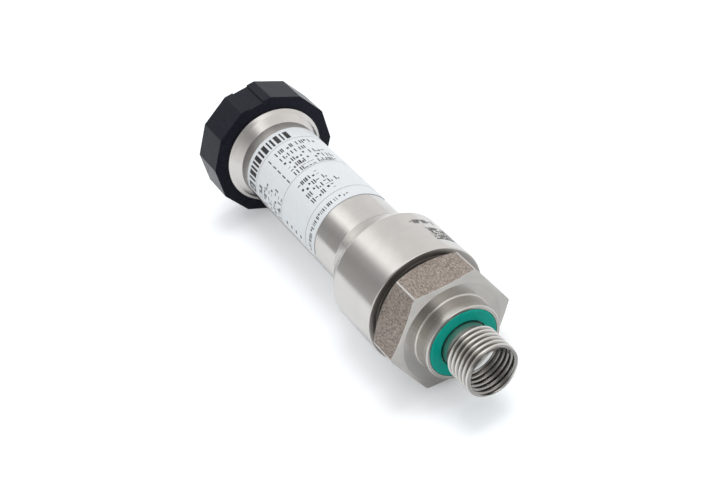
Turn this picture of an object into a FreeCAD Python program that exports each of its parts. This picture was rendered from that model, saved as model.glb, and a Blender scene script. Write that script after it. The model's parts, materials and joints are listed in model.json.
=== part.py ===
import FreeCAD, Part
import math
import os
import re
import Sketcher

# A pressure transmitter, lying on the front edge of its wide housing and the front edge of its nut.
#
# Every piece is drawn in one axis frame: +X runs along the transmitter from the tip of the pressure
# port to its electrical plug, and a station is a distance from that tip. The last step lays all
# pieces down together, with the port pointing to +X and +Z up.

Vector = FreeCAD.Vector
doc = FreeCAD.newDocument("pressure_transmitter")

# --- Driving sizes, in millimetres and degrees ------------------------------------------------------

SIZES = (
    # Port stud
    ("thread_diameter", 13.157, "G 1/4 pipe thread, over its crests"),
    ("tip_diameter", 10.9, "flat face of the stud"),
    ("bore_diameter", 2.2, "pressure bore"),
    ("bore_mouth_diameter", 2.7, "countersink of the bore"),
    ("stud_length", 12.0, "tip to the sealing face of the collar"),
    ("thread_length", 8.7, "tip to the end of the thread"),
    ("relief_diameter", 11.2, "undercut behind the thread"),
    # Collar and seal
    ("collar_diameter", 19.0, "sealing collar"),
    ("collar_length", 4.35, "sealing face to the hexagon"),
    ("collar_edge", 0.2, "chamfer of the collar"),
    ("collar_fillet", 0.4, "round between collar and hexagon"),
    ("recess_depth", 1.5, "ring recess for the seal"),
    ("collar_rim", 0.86, "wall of the collar round the recess"),
    ("seal_inner_gap", 0.35, "relief groove to the bore of the seal"),
    ("seal_proud", 0.15, "how far the seal stands out of the collar"),
    ("seal_round", 0.5, "rounded outer lip of the seal"),
    ("seal_fit", 0.04, "gap between the seal and the collar's wall"),
    # Hexagon
    ("hex_width", 27.0, "across flats"),
    ("hex_blank_diameter", 30.9, "turned blank that blunts the corners"),
    ("hex_face_diameter", 25.2, "where the chamfer starts"),
    ("hex_length", 8.8, "front face to back face"),
    ("hex_chamfer_angle", 15.0, "from the face"),
    ("hex_turn_angle", 6.4, "angle of one corner about the axis"),
    # Neck and spigot
    ("neck_step", 0.6, "face of the hexagon down to the groove behind it"),
    ("neck_length", 2.0, "width of that groove"),
    ("spigot_wall", 2.0, "wall of the housing round the spigot"),
    ("spigot_length", 6.0, "depth inside the housing"),
    ("slip_fit", 0.03, "gap of a pushed or welded fit"),
    # Pressure capsule
    ("pocket_depth", 11.4, "capsule pocket, from the end of the spigot"),
    ("capsule_diameter", 19.0, "capsule"),
    ("capsule_fit", 0.1, "gap round the capsule"),
    ("capsule_length", 7.4, "capsule"),
    ("o_ring_thickness", 1.64, "both O-rings, squeezed"),
    ("groove_side_gap", 0.38, "O-ring to each side of its groove"),
    ("capsule_groove_place", 3.6, "front of the capsule to the middle of its groove"),
    ("diaphragm_diameter", 16.0, "isolating diaphragm"),
    ("diaphragm_thickness", 0.1, "isolating diaphragm"),
    ("wave_height", 0.15, "height of its corrugations"),
    ("wave_pitch", 1.6, "radial pitch of its corrugations"),
    ("weld_ring_thickness", 0.4, "ring that clamps its edge"),
    ("weld_ring_width", 0.8, "radial width of that ring"),
    ("front_gap", 0.2, "pocket floor to that ring"),
    ("oil_gap", 0.3, "oil film behind the diaphragm"),
    ("oil_hole_diameter", 3.0, "oil passage to the chip"),
    ("web_thickness", 1.4, "wall between diaphragm and chip"),
    ("header_diameter", 12.0, "feed-through header"),
    ("header_thickness", 3.0, "feed-through header"),
    ("header_pin_circle", 8.0, "pitch circle of its pins"),
    ("header_pin_diameter", 0.5, "feed-through pin"),
    ("header_pin_inside", 0.85, "length on the oil side"),
    ("glass_diameter", 1.6, "glass bead round each pin"),
    ("fill_plug_diameter", 1.2, "plug of the oil filling hole"),
    ("chip_width", 2.2, "silicon chip and its glass pedestal"),
    ("chip_thickness", 0.5, "silicon chip"),
    ("pedestal_thickness", 0.8, "glass pedestal"),
    ("clamp_thread_step", 0.43, "capsule pocket to the thread behind it"),
    ("clamp_ring_bore", 13.0, "threaded ring behind the capsule"),
    ("clamp_ring_thickness", 3.0, "threaded ring"),
    ("clamp_slot_width", 2.0, "spanner slot"),
    ("clamp_slot_depth", 1.0, "spanner slot"),
    # Housing
    ("body_diameter", 30.0, "wide part of the housing"),
    ("body_length", 15.85, "wide part of the housing"),
    ("body_edge", 0.2, "chamfer of its front edge"),
    ("body_wall", 3.0, "wall of the wide part"),
    ("chamber_step", 1.0, "inner step ahead of the outer shoulder"),
    ("shoulder_angle", 30.0, "cone down to the tube, from the axis"),
    ("tube_diameter", 22.0, "slim part of the housing"),
    ("tube_length", 48.9, "shoulder to flare"),
    ("tube_wall", 1.5, "wall of the slim part"),
    ("flare_angle", 35.0, "cone up to the lip of the rim, from the axis"),
    ("lip_height", 0.95, "lip between that cone and the rim"),
    ("lip_length", 0.65, "lip, along the axis"),
    ("rim_diameter", 27.0, "rim that the nut screws on"),
    ("rim_length", 6.836, "rim that the nut screws on"),
    ("rear_bore_step", 1.0, "bore of the tube to the seat of the carrier"),
    ("rear_bore_depth", 6.0, "seat of the connector carrier"),
    # Label
    ("label_thickness", 0.15, "foil"),
    ("label_length", 36.0, "along the tube"),
    ("label_inset", 3.4, "label to the flare"),
    ("label_span_angle", 158.0, "angle round the tube"),
    ("label_turn_angle", 79.7, "angle of its middle about the axis"),
    ("label_corner", 1.2, "corner radius"),
    # Union nut
    ("nut_wall", 2.95, "bore to each of its twelve flats"),
    ("nut_length", 9.9, "front face to back face"),
    ("nut_lip", 2.0, "thickness of its inward lip"),
    ("nut_lip_bore", 18.0, "hole of the lip"),
    ("nut_fit", 0.05, "radial gap to the rim"),
    ("nut_edge", 0.2, "chamfer of its outer edges"),
    ("nut_slot_width", 4.3, "shallow slot in one side"),
    ("nut_slot_depth", 0.4, "shallow slot in one side"),
    ("nut_slot_angle", 90.0, "angle of that side about the axis"),
    # Electrical plug
    ("carrier_spigot_length", 5.8, "carrier inside the housing"),
    ("carrier_fit", 0.1, "gap round that spigot"),
    ("carrier_flange_gap", 1.05, "flange that the nut clamps, to the nut's bore"),
    ("carrier_flange_thickness", 1.8, "that flange"),
    ("boss_fit", 0.1, "gap between boss and lip"),
    ("boss_proud", 0.7, "boss beyond the nut"),
    ("boss_lip", 1.5, "wall that holds the sleeve"),
    ("sleeve_root_step", 0.7, "shoulder that the boss holds"),
    ("sleeve_root_length", 7.0, "sleeve inside the carrier"),
    ("sleeve_root_bore", 10.0, "bore for the pin holder"),
    ("plug_neck_step", 0.3, "thread to the neck inside the boss"),
    ("plug_diameter", 12.0, "M12 thread of the sleeve"),
    ("plug_reach", 10.3, "thread beyond the boss"),
    ("plug_bore", 8.6, "mouth of the plug"),
    ("plug_edge", 0.5, "chamfer of the mouth"),
    ("holder_shoulder", 0.5, "sleeve step behind the pin holder"),
    ("holder_nose", 2.3, "slim end of the pin holder"),
    ("holder_fit", 0.05, "gap round the pin holder"),
    ("key_width", 1.0, "coding rib"),
    ("key_height", 0.7, "coding rib"),
    ("key_length", 6.0, "coding rib"),
    ("contact_diameter", 1.0, "contact pin"),
    ("contact_circle", 5.0, "pitch circle of the contact pins"),
    ("contact_inset", 2.0, "pin tip behind the mouth"),
    ("contact_edge", 0.25, "chamfer of the pin tip"),
    ("cup_diameter", 1.4, "solder cup of a contact pin"),
    ("cup_length", 1.5, "solder cup of a contact pin"),
    ("pin_fit", 0.03, "gap round a pin in its hole"),
    # Circuit boards
    ("sensor_board_diameter", 18.0, "round board behind the capsule"),
    ("sensor_board_thickness", 1.0, "round board"),
    ("sensor_board_gap", 3.0, "clamp ring to round board"),
    ("header_pin_proud", 0.7, "pin beyond the round board"),
    ("board_inset", 2.0, "shoulder to main board"),
    ("board_end_gap", 12.0, "main board to the contact pins"),
    ("board_side_gap", 1.75, "main board to the bore of the tube"),
    ("board_thickness", 1.6, "main board"),
    ("board_corner", 1.0, "cut corners of the main board"),
    ("board_fit", 0.1, "gap round the board in its guides"),
    ("guide_thickness", 4.0, "guide ring along the tube"),
    ("guide_fit", 0.05, "gap between guide ring and tube"),
    ("guide_grip", 0.55, "depth of the board in a guide ring"),
    ("front_guide_place", 5.0, "start of the board to the first guide"),
    ("rear_guide_place", 33.0, "start of the board to the second guide"),
    # Leads
    ("lead_diameter", 1.0, "insulated wire"),
    ("lead_spacing", 2.0, "solder pads on the board"),
    ("lead_overlap", 3.0, "length that lies on the board"),
    ("lead_straight", 1.5, "straight end at the contact pin"),
    ("strip_width", 6.0, "flat strip between the boards"),
    ("strip_thickness", 0.3, "flat strip"),
    ("strip_low", 4.6, "foot of the strip on the round board, from the axis"),
    ("strip_high", 7.6, "head of the strip on the round board"),
    ("strip_overlap", 2.5, "length that lies on the main board"),
    # Board components: middle from the start of the board, offset across it, length, width, height
    ("converter_chip_place", 15.0, "start of the board to its middle"),
    ("converter_chip_offset", 0.0, "across the board"),
    ("converter_chip_length", 5.0, "along the board"),
    ("converter_chip_width", 4.4, "across the board"),
    ("converter_chip_height", 1.2, "above the board"),
    ("processor_chip_place", 23.0, "start of the board to its middle"),
    ("processor_chip_offset", 0.0, "across the board"),
    ("processor_chip_length", 7.0, "along the board"),
    ("processor_chip_width", 6.6, "across the board"),
    ("processor_chip_height", 1.4, "above the board"),
    ("clock_crystal_place", 29.6, "start of the board to its middle"),
    ("clock_crystal_offset", -2.5, "across the board"),
    ("clock_crystal_length", 3.2, "along the board"),
    ("clock_crystal_width", 2.5, "across the board"),
    ("clock_crystal_height", 0.8, "above the board"),
    ("line_driver_place", 29.6, "start of the board to its middle"),
    ("line_driver_offset", 2.6, "across the board"),
    ("line_driver_length", 4.9, "along the board"),
    ("line_driver_width", 3.0, "across the board"),
    ("line_driver_height", 1.5, "above the board"),
    ("voltage_regulator_place", 20.0, "start of the board to its middle"),
    ("voltage_regulator_offset", 0.0, "across the board"),
    ("voltage_regulator_length", 6.5, "along the board"),
    ("voltage_regulator_width", 3.5, "across the board"),
    ("voltage_regulator_height", 1.7, "above the board"),
    ("tank_capacitor_place", 27.5, "start of the board to its middle"),
    ("tank_capacitor_offset", 0.0, "across the board"),
    ("tank_capacitor_length", 6.0, "along the board"),
    ("tank_capacitor_width", 3.4, "across the board"),
    ("tank_capacitor_height", 2.6, "above the board"),
    ("surge_diode_place", 13.6, "start of the board to its middle"),
    ("surge_diode_offset", -3.0, "across the board"),
    ("surge_diode_length", 4.4, "along the board"),
    ("surge_diode_width", 2.6, "across the board"),
    ("surge_diode_height", 2.2, "above the board"),
    ("leg_width", 0.35, "leg of a chip"),
    ("leg_reach", 0.8, "leg beyond the side of a chip"),
    ("leg_height", 0.45, "leg above the board"),
    ("leg_margin", 0.7, "end of a chip to its first leg"),
    ("chip_edge", 0.15, "chamfer of a chip's top"),
)

# Legs on each long side of a component, and the face of the board that carries it.
COMPONENTS = {
    "converter_chip": (5, 1),
    "processor_chip": (7, 1),
    "clock_crystal": (0, 1),
    "line_driver": (4, 1),
    "voltage_regulator": (2, -1),
    "tank_capacitor": (0, -1),
    "surge_diode": (0, -1),
}

# --- Stations and radii that follow from them -------------------------------------------------------

PLACES = (
    ("collar_front", "stud_length"),
    ("recess_floor", "collar_front + recess_depth"),
    ("recess_radius", "collar_diameter / 2 - collar_rim"),
    ("seal_outer_radius", "recess_radius - seal_fit"),
    ("seal_inner_radius", "relief_diameter / 2 + seal_inner_gap"),
    ("hex_front", "collar_front + collar_length"),
    ("hex_back", "hex_front + hex_length"),
    ("hex_drop", "(hex_blank_diameter - hex_face_diameter) / 2 * tan(hex_chamfer_angle)"),
    ("neck_radius", "hex_face_diameter / 2 - neck_step"),
    ("housing_front", "hex_back + neck_length"),
    ("spigot_bore_radius", "body_diameter / 2 - spigot_wall"),
    ("spigot_end", "housing_front + spigot_length"),
    ("pocket_floor", "spigot_end - pocket_depth"),
    ("pocket_radius", "capsule_diameter / 2 + capsule_fit"),
    ("capsule_back", "pocket_floor + capsule_length"),
    ("weld_ring_front", "pocket_floor + front_gap"),
    ("diaphragm_front", "weld_ring_front + weld_ring_thickness"),
    ("diaphragm_back", "diaphragm_front + diaphragm_thickness"),
    ("web_front", "diaphragm_back + oil_gap"),
    ("web_back", "web_front + web_thickness"),
    ("header_front", "capsule_back - header_thickness"),
    ("clamp_ring_back", "capsule_back + clamp_ring_thickness"),
    ("ring_bore_radius", "pocket_radius + clamp_thread_step"),
    ("clamp_ring_radius", "ring_bore_radius - slip_fit"),
    ("groove_width", "o_ring_thickness + 2 * groove_side_gap"),
    ("groove_depth", "o_ring_thickness + 2 * slip_fit"),
    ("capsule_groove_middle", "pocket_floor + capsule_groove_place"),
    ("capsule_groove_radius", "pocket_radius - groove_depth"),
    ("body_back", "housing_front + body_length"),
    ("chamber_radius", "body_diameter / 2 - body_wall"),
    ("tube_front", "body_back + (body_diameter - tube_diameter) / 2 / tan(shoulder_angle)"),
    ("tube_bore_radius", "tube_diameter / 2 - tube_wall"),
    ("flare_front", "tube_front + tube_length"),
    ("lip_radius", "rim_diameter / 2 - lip_height"),
    ("lip_front", "flare_front + (lip_radius - tube_diameter / 2) / tan(flare_angle)"),
    ("flare_back", "lip_front + lip_length"),
    ("housing_back", "flare_back + rim_length"),
    ("rear_bore_floor", "housing_back - rear_bore_depth"),
    ("rear_bore_radius", "tube_bore_radius + rear_bore_step"),
    ("label_back", "flare_front - label_inset"),
    ("label_front", "label_back - label_length"),
    ("flange_back", "housing_back + carrier_flange_thickness"),
    ("nut_back", "flange_back + nut_lip"),
    ("nut_front", "nut_back - nut_length"),
    ("nut_bore_radius", "rim_diameter / 2 + nut_fit"),
    ("nut_flat", "nut_bore_radius + nut_wall"),
    ("carrier_front", "housing_back - carrier_spigot_length"),
    ("carrier_back", "nut_back + boss_proud"),
    ("carrier_groove_middle", "housing_back - carrier_spigot_length / 2"),
    ("carrier_radius", "rear_bore_radius - carrier_fit"),
    ("carrier_groove_radius", "rear_bore_radius - groove_depth"),
    ("carrier_flange_radius", "nut_bore_radius - carrier_flange_gap"),
    ("plug_neck_radius", "plug_diameter / 2 + plug_neck_step"),
    ("sleeve_root_radius", "plug_neck_radius + sleeve_root_step"),
    ("sleeve_step", "carrier_back - boss_lip"),
    ("sleeve_front", "sleeve_step - sleeve_root_length"),
    ("plug_end", "carrier_back + plug_reach"),
    ("holder_step", "sleeve_step + holder_shoulder"),
    ("holder_face", "holder_step + holder_nose"),
    ("contact_front", "sleeve_front - cup_length"),
    ("contact_end", "plug_end - contact_inset"),
    ("sensor_board_front", "clamp_ring_back + sensor_board_gap"),
    ("sensor_board_back", "sensor_board_front + sensor_board_thickness"),
    ("board_front", "body_back + board_inset"),
    ("board_back", "contact_front - board_end_gap"),
    ("board_width", "2 * (tube_bore_radius - board_side_gap)"),
    ("guide_radius", "board_width / 2 - guide_grip"),
    ("board_top", "board_thickness / 2"),
)

PIN_COUNT = 5
NUT_SIDES = 12
HEX_SIDES = 6
TOUCH = 1e-4    # two places nearer than this are the same place


def fill_sheet(name, rows):
    """A spreadsheet of (alias, content, note) rows: the content in column B, under its alias."""
    sheet = doc.addObject("Spreadsheet::Sheet", name)
    for number, (alias, content, note) in enumerate(rows, start=1):
        sheet.set("A%d" % number, alias)
        sheet.set("B%d" % number, content)
        sheet.setAlias("B%d" % number, alias)
        sheet.set("C%d" % number, note)
    return sheet


SHEET_OF = dict([(row[0], "Sizes.") for row in SIZES] + [(row[0], "Places.") for row in PLACES])


def formula(text):
    """The text with every size and place written as a cell of its sheet."""
    return re.sub(r"[a-z_]+", lambda word: SHEET_OF.get(word.group(), "") + word.group(), text)


sizes = fill_sheet("Sizes", [(alias, str(number), note) for alias, number, note in SIZES])
fill_sheet("Places", [(alias, "=" + formula(text), "") for alias, text in PLACES])
doc.recompute()


def value(text):
    """The number that a formula of sizes and places gives."""
    return float(sizes.evalExpression(formula(text)))


# --- Sketches and features --------------------------------------------------------------------------

ALONG = "XZ_Plane"      # sketch X is the station, sketch Y is the height above the axis
ACROSS = "YZ_Plane"     # a cross-section, seen along the axis
FLAT = "XY_Plane"       # sketch X is the station, sketch Y is the side

nodes = []


def new_body(name):
    body = doc.addObject("PartDesign::Body", name)
    body.Label = name
    nodes.append(body)
    return body


def new_sketch(body, plane, station="0"):
    """A sketch on an origin plane of the body, moved along that plane's normal to the station."""
    sketch = body.newObject("Sketcher::SketchObject", body.Name + "_sketch")
    roles = {feature.Role: feature for feature in body.Origin.OriginFeatures}
    sketch.AttachmentSupport = [(roles[plane], "")]
    sketch.MapMode = "FlatFace"
    sketch.setExpression("AttachmentOffset.Base.z", formula(station))
    return sketch


def drive(sketch, kind, text, *elements):
    """One named distance of the sketch, bound to a formula."""
    index = sketch.addConstraint(Sketcher.Constraint(kind, *elements, value(text)))
    sketch.renameConstraint(index, "size%d" % index)
    sketch.setExpression("Constraints.size%d" % index, formula(text))


def hold_point(sketch, line, end, across, up):
    """Fixes a point at two formulas of its coordinates. A coordinate of 0 lies on the axis."""
    for kind, axis, text in (("DistanceX", -2, across), ("DistanceY", -1, up)):
        if text == "0":
            sketch.addConstraint(Sketcher.Constraint("PointOnObject", line, end, axis))
        else:
            drive(sketch, kind, text, -1, 1, line, end)


def draw_outline(sketch, points):
    """A closed outline of straight lines through the points, given as pairs of formulas."""
    corners = [Vector(value(across), value(up), 0) for across, up in points]
    first = sketch.GeometryCount
    for start, end in zip(corners, corners[1:] + corners[:1]):
        sketch.addGeometry(Part.LineSegment(start, end), False)
    for number, (across, up) in enumerate(points):
        following = first + (number + 1) % len(points)
        sketch.addConstraint(Sketcher.Constraint("Coincident", first + number, 2, following, 1))
    for number, (across, up) in enumerate(points):
        hold_point(sketch, first + number, 1, across, up)


def draw_box(sketch, left, right, bottom, top):
    draw_outline(sketch, [(left, bottom), (right, bottom), (right, top), (left, top)])


def draw_circle(sketch, across, up, diameter):
    centre = Vector(value(across), value(up), 0)
    circle = Part.Circle(centre, Vector(0, 0, 1), value(diameter) / 2)
    index = sketch.addGeometry(circle, False)
    hold_point(sketch, index, 3, across, up)
    drive(sketch, "Diameter", diameter, index)


def polygon(sides, flat, turn):
    """Corners of a regular polygon, from the distance of its flats and the angle of one corner."""
    step = 360 / sides
    radius = "%s / cos(%g)" % (flat, step / 2)
    corners = []
    for number in range(sides):
        angle = "%s + %g" % (turn, number * step)
        corners.append(("%s * cos(%s)" % (radius, angle), "%s * sin(%s)" % (radius, angle)))
    return corners


def extrude(body, kind, sketch, length, reverse=False, both_ways=False):
    feature = body.newObject("PartDesign::" + kind, body.Name + "_" + kind.lower())
    feature.Profile = sketch
    feature.Length = value(length)
    feature.setExpression("Length", formula(length))
    feature.Reversed = reverse
    feature.Midplane = both_ways
    sketch.Visibility = False
    doc.recompute()
    return feature


def turn(body, points, kind="Revolution", angle="360"):
    """Turns an outline of (station, radius) points about the axis."""
    sketch = new_sketch(body, ALONG)
    draw_outline(sketch, points)
    return turn_sketch(body, sketch, kind, angle)


def turn_sketch(body, sketch, kind="Revolution", angle="360"):
    feature = body.newObject("PartDesign::" + kind, body.Name + "_" + kind.lower())
    feature.Profile = sketch
    feature.ReferenceAxis = (sketch, ["H_Axis"])
    feature.Angle = value(angle)
    feature.setExpression("Angle", formula(angle))
    doc.recompute()
    return feature


def turned_body(name, points):
    body = new_body(name)
    turn(body, points)
    return body


def tube_points(front, back, inner, outer):
    """Outline of a plain ring between two stations and two radii."""
    return [(front, inner), (front, outer), (back, outer), (back, inner)]


def dress(body, kind, size_name, size, edges):
    """A fillet or chamfer on the edges of the body's last feature that pass the test."""
    base = body.Tip
    names = ["Edge%d" % number for number, edge in enumerate(base.Shape.Edges, start=1) if edges(edge)]
    feature = body.newObject("PartDesign::" + kind, body.Name + "_" + kind.lower())
    feature.Base = (base, names)
    setattr(feature, size_name, value(size))
    feature.setExpression(size_name, formula(size))
    doc.recompute()
    return feature


def rim_at(station, radius):
    """Test for the full circles about the axis at a station and a radius."""
    def is_rim(edge):
        curve = edge.Curve
        if not isinstance(curve, Part.Circle):
            return False
        same_place = abs(curve.Center.x - value(station)) < TOUCH
        on_axis = math.hypot(curve.Center.y, curve.Center.z) < TOUCH
        return same_place and on_axis and abs(curve.Radius - value(radius)) < TOUCH
    return is_rim


# --- Pressure port ----------------------------------------------------------------------------------


def port_fitting():
    """Stud, collar, hexagon and spigot: turned from one bar, then milled to six flats."""
    thread, tip = "thread_diameter / 2", "tip_diameter / 2"
    relief = "relief_diameter / 2"
    collar, blank, face = "collar_diameter / 2", "hex_blank_diameter / 2", "hex_face_diameter / 2"
    mouth, bore = "bore_mouth_diameter / 2", "bore_diameter / 2"
    body = turned_body("port_fitting", [
        ("0", mouth),
        ("0", tip),
        (thread + " - " + tip, thread),
        ("thread_length", thread),
        ("thread_length + " + thread + " - " + relief, relief),
        ("recess_floor", relief),
        ("recess_floor", "recess_radius"),
        ("collar_front", "recess_radius"),
        ("collar_front", collar + " - collar_edge"),
        ("collar_front + collar_edge", collar),
        ("hex_front", collar),
        ("hex_front", face),
        ("hex_front + hex_drop", blank),
        ("hex_back - hex_drop", blank),
        ("hex_back", face),
        ("hex_back", "neck_radius"),
        ("housing_front", "neck_radius"),
        ("housing_front", "spigot_bore_radius - slip_fit"),
        ("spigot_end", "spigot_bore_radius - slip_fit"),
        ("spigot_end", "ring_bore_radius"),
        ("capsule_back", "ring_bore_radius"),
        ("capsule_back", "pocket_radius"),
        ("pocket_floor", "pocket_radius"),
        ("pocket_floor", bore),
        (mouth + " - " + bore, bore),
    ])
    dress(body, "Fillet", "Radius", "collar_fillet", rim_at("hex_front", collar))
    flats = new_sketch(body, ACROSS, "hex_front")
    draw_outline(flats, polygon(HEX_SIDES, "hex_width / 2", "hex_turn_angle"))
    draw_circle(flats, "0", "0", "2 * hex_blank_diameter")
    extrude(body, "Pocket", flats, "hex_length", reverse=True)


def seal_ring():
    """Profile seal in the collar's recess, with a rounded outer lip."""
    front = "collar_front - seal_proud"
    body = turned_body("seal_ring", tube_points(
        front, "recess_floor", "seal_inner_radius", "seal_outer_radius"))
    dress(body, "Fillet", "Radius", "seal_round", rim_at(front, "seal_outer_radius"))


# --- Pressure capsule -------------------------------------------------------------------------------


def capsule_body():
    """Steel capsule: diaphragm seat in front, O-ring groove outside, header bore behind."""
    outer, groove = "capsule_diameter / 2", "capsule_groove_radius"
    seat = "diaphragm_diameter / 2 + slip_fit"
    film = "diaphragm_diameter / 2 - weld_ring_width"
    hole, header = "oil_hole_diameter / 2", "header_diameter / 2 + slip_fit"
    turned_body("capsule_body", [
        ("pocket_floor", seat),
        ("pocket_floor", outer),
        ("capsule_groove_middle - groove_width / 2", outer),
        ("capsule_groove_middle - groove_width / 2", groove),
        ("capsule_groove_middle + groove_width / 2", groove),
        ("capsule_groove_middle + groove_width / 2", outer),
        ("capsule_back", outer),
        ("capsule_back", header),
        ("web_back", header),
        ("web_back", hole),
        ("web_front", hole),
        ("web_front", film),
        ("diaphragm_back", film),
        ("diaphragm_back", seat),
    ])


def o_ring(name, middle, wall_radius):
    """O-ring that fills its groove up to the wall outside."""
    body = new_body(name)
    sketch = new_sketch(body, ALONG)
    draw_circle(sketch, middle, wall_radius + " - groove_depth / 2", "o_ring_thickness")
    turn_sketch(body, sketch)


def diaphragm():
    """Thin corrugated disc: its flat edge is clamped, and its waves run in rings round a flat middle."""
    edge = "diaphragm_diameter / 2"
    rings = 3
    front = [("diaphragm_front", "0")]
    for ring in range(rings):
        start = "%s - weld_ring_width - %g * wave_pitch" % (edge, rings - ring)
        front += [
            ("diaphragm_front", start),
            ("diaphragm_front + wave_height", start + " + 0.25 * wave_pitch"),
            ("diaphragm_front + wave_height", start + " + 0.5 * wave_pitch"),
            ("diaphragm_front", start + " + 0.75 * wave_pitch"),
        ]
    front.append(("diaphragm_front", edge))
    back = [(station + " + diaphragm_thickness", radius) for station, radius in reversed(front)]
    turned_body("diaphragm", front + back)


def weld_ring():
    """Ring that clamps the diaphragm's edge on the capsule."""
    edge = "diaphragm_diameter / 2"
    turned_body("weld_ring", tube_points(
        "weld_ring_front", "diaphragm_front", edge + " - weld_ring_width", edge))


def around(number, count, circle, turn_angle):
    """Formulas of one place on a pitch circle."""
    angle = "%g" % (turn_angle + 360 * number / count)
    return "%s / 2 * cos(%s)" % (circle, angle), "%s / 2 * sin(%s)" % (circle, angle)


HEADER_PINS = [around(number, PIN_COUNT, "header_pin_circle", -90) for number in range(PIN_COUNT)]
FILL_PLACE = around(0, 1, "header_pin_circle", 90)
CONTACTS = [("0", "0")] + [around(number, 4, "contact_circle", 45) for number in range(4)]


def header():
    """Steel header with a hole for each glass bead and one for filling the oil."""
    body = turned_body("header", tube_points("header_front", "capsule_back", "0", "header_diameter / 2"))
    holes = new_sketch(body, ACROSS, "header_front")
    for across, up in HEADER_PINS:
        draw_circle(holes, across, up, "glass_diameter")
    draw_circle(holes, *FILL_PLACE, "fill_plug_diameter + 2 * pin_fit")
    extrude(body, "Pocket", holes, "header_thickness", reverse=True)


def shift(body, across, up):
    """Moves a body that was drawn on the axis to its own place beside it."""
    body.Placement.Base = Vector(0, value(across), value(up))


def header_pins():
    """Feed-through pins, each in its glass bead, from the oil to the round board."""
    for number, (across, up) in enumerate(HEADER_PINS, start=1):
        radius = "header_pin_diameter / 2"
        pin = turned_body("header_pin_%d" % number, tube_points(
            "header_front - header_pin_inside", "sensor_board_back + header_pin_proud", "0", radius))
        shift(pin, across, up)
        bead = turned_body("glass_bead_%d" % number, tube_points(
            "header_front", "capsule_back", radius, "glass_diameter / 2"))
        shift(bead, across, up)
    plug = turned_body("fill_plug", tube_points(
        "header_front", "capsule_back", "0", "fill_plug_diameter / 2"))
    shift(plug, *FILL_PLACE)


def square_block(name, front, back):
    """Square block on the axis, as wide as the pressure chip."""
    body = new_body(name)
    sketch = new_sketch(body, ACROSS, front)
    half = "chip_width / 2"
    draw_box(sketch, "-" + half, half, "-" + half, half)
    extrude(body, "Pad", sketch, "%s - (%s)" % (back, front))


def pressure_chip():
    """Silicon chip on its glass pedestal, on the oil side of the header."""
    pedestal_front = "header_front - pedestal_thickness"
    square_block("chip_pedestal", pedestal_front, "header_front")
    square_block("pressure_chip", pedestal_front + " - chip_thickness", pedestal_front)


def clamp_ring():
    """Threaded ring that presses the capsule into its pocket, slotted for a spanner."""
    body = turned_body("clamp_ring", tube_points(
        "capsule_back", "clamp_ring_back", "clamp_ring_bore / 2", "clamp_ring_radius"))
    slot = new_sketch(body, ACROSS, "clamp_ring_back - clamp_slot_depth")
    half_width, half_length = "clamp_slot_width / 2", "2 * clamp_ring_radius"
    draw_box(slot, "-" + half_length, half_length, "-" + half_width, half_width)
    extrude(body, "Pocket", slot, "2 * clamp_slot_depth", reverse=True)


# --- Housing, label and nut -------------------------------------------------------------------------


def housing():
    """One turned steel shell: wide chamber, shoulder, slim tube and the rim for the nut."""
    outer, tube, rim = "body_diameter / 2", "tube_diameter / 2", "rim_diameter / 2"
    turned_body("housing", [
        ("housing_front", "spigot_bore_radius"),
        ("housing_front", outer + " - body_edge"),
        ("housing_front + body_edge", outer),
        ("body_back", outer),
        ("tube_front", tube),
        ("flare_front", tube),
        ("lip_front", "lip_radius"),
        ("flare_back", rim),
        ("housing_back", rim),
        ("housing_back", "rear_bore_radius"),
        ("rear_bore_floor", "rear_bore_radius"),
        ("rear_bore_floor", "tube_bore_radius"),
        ("body_back - chamber_step", "tube_bore_radius"),
        ("body_back - chamber_step", "chamber_radius"),
        ("spigot_end", "chamber_radius"),
        ("spigot_end", "spigot_bore_radius"),
    ])


def label():
    """Foil round part of the tube, with rounded corners."""
    tube = "tube_diameter / 2"
    body = new_body("label")
    sketch = new_sketch(body, ALONG)
    draw_box(sketch, "label_front", "label_back", tube, tube + " + label_thickness")
    foil = turn_sketch(body, sketch, angle="label_span_angle")
    foil.Midplane = True
    doc.recompute()
    thickness = value("label_thickness")
    dress(body, "Fillet", "Radius", "label_corner", lambda edge: abs(edge.Length - thickness) < TOUCH)
    body.Placement.Rotation = FreeCAD.Rotation(Vector(1, 0, 0), value("label_turn_angle") - 90)


def union_nut():
    """Twelve-sided nut: its bore takes the rim, and its lip clamps the connector carrier."""
    corner = "nut_flat / cos(15)"
    body = turned_body("union_nut", [
        ("nut_front", "nut_bore_radius"),
        ("nut_front", corner + " - nut_edge"),
        ("nut_front + nut_edge", corner),
        ("nut_back - nut_edge", corner),
        ("nut_back", corner + " - nut_edge"),
        ("nut_back", "nut_lip_bore / 2"),
        ("flange_back", "nut_lip_bore / 2"),
        ("flange_back", "nut_bore_radius"),
    ])
    sides = new_sketch(body, ACROSS, "nut_front")
    draw_outline(sides, polygon(NUT_SIDES, "nut_flat", "15"))
    draw_circle(sides, "0", "0", "4 * nut_flat")
    extrude(body, "Pocket", sides, "nut_length", reverse=True)
    slot = new_sketch(body, ACROSS, "nut_front")
    draw_outline(slot, [turned_point(out, side, "nut_slot_angle") for out, side in (
        ("nut_flat - nut_slot_depth", "-nut_slot_width / 2"),
        ("2 * nut_flat", "-nut_slot_width / 2"),
        ("2 * nut_flat", "nut_slot_width / 2"),
        ("nut_flat - nut_slot_depth", "nut_slot_width / 2"))])
    extrude(body, "Pocket", slot, "nut_length", reverse=True)


def turned_point(out, side, angle):
    """A point given by its distance out and to the side, turned about the axis."""
    parts = {"out": "(" + out + ")", "side": "(" + side + ")", "angle": angle}
    return (
        "%(out)s * cos(%(angle)s) - %(side)s * sin(%(angle)s)" % parts,
        "%(out)s * sin(%(angle)s) + %(side)s * cos(%(angle)s)" % parts,
    )


# --- Electrical plug --------------------------------------------------------------------------------


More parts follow.
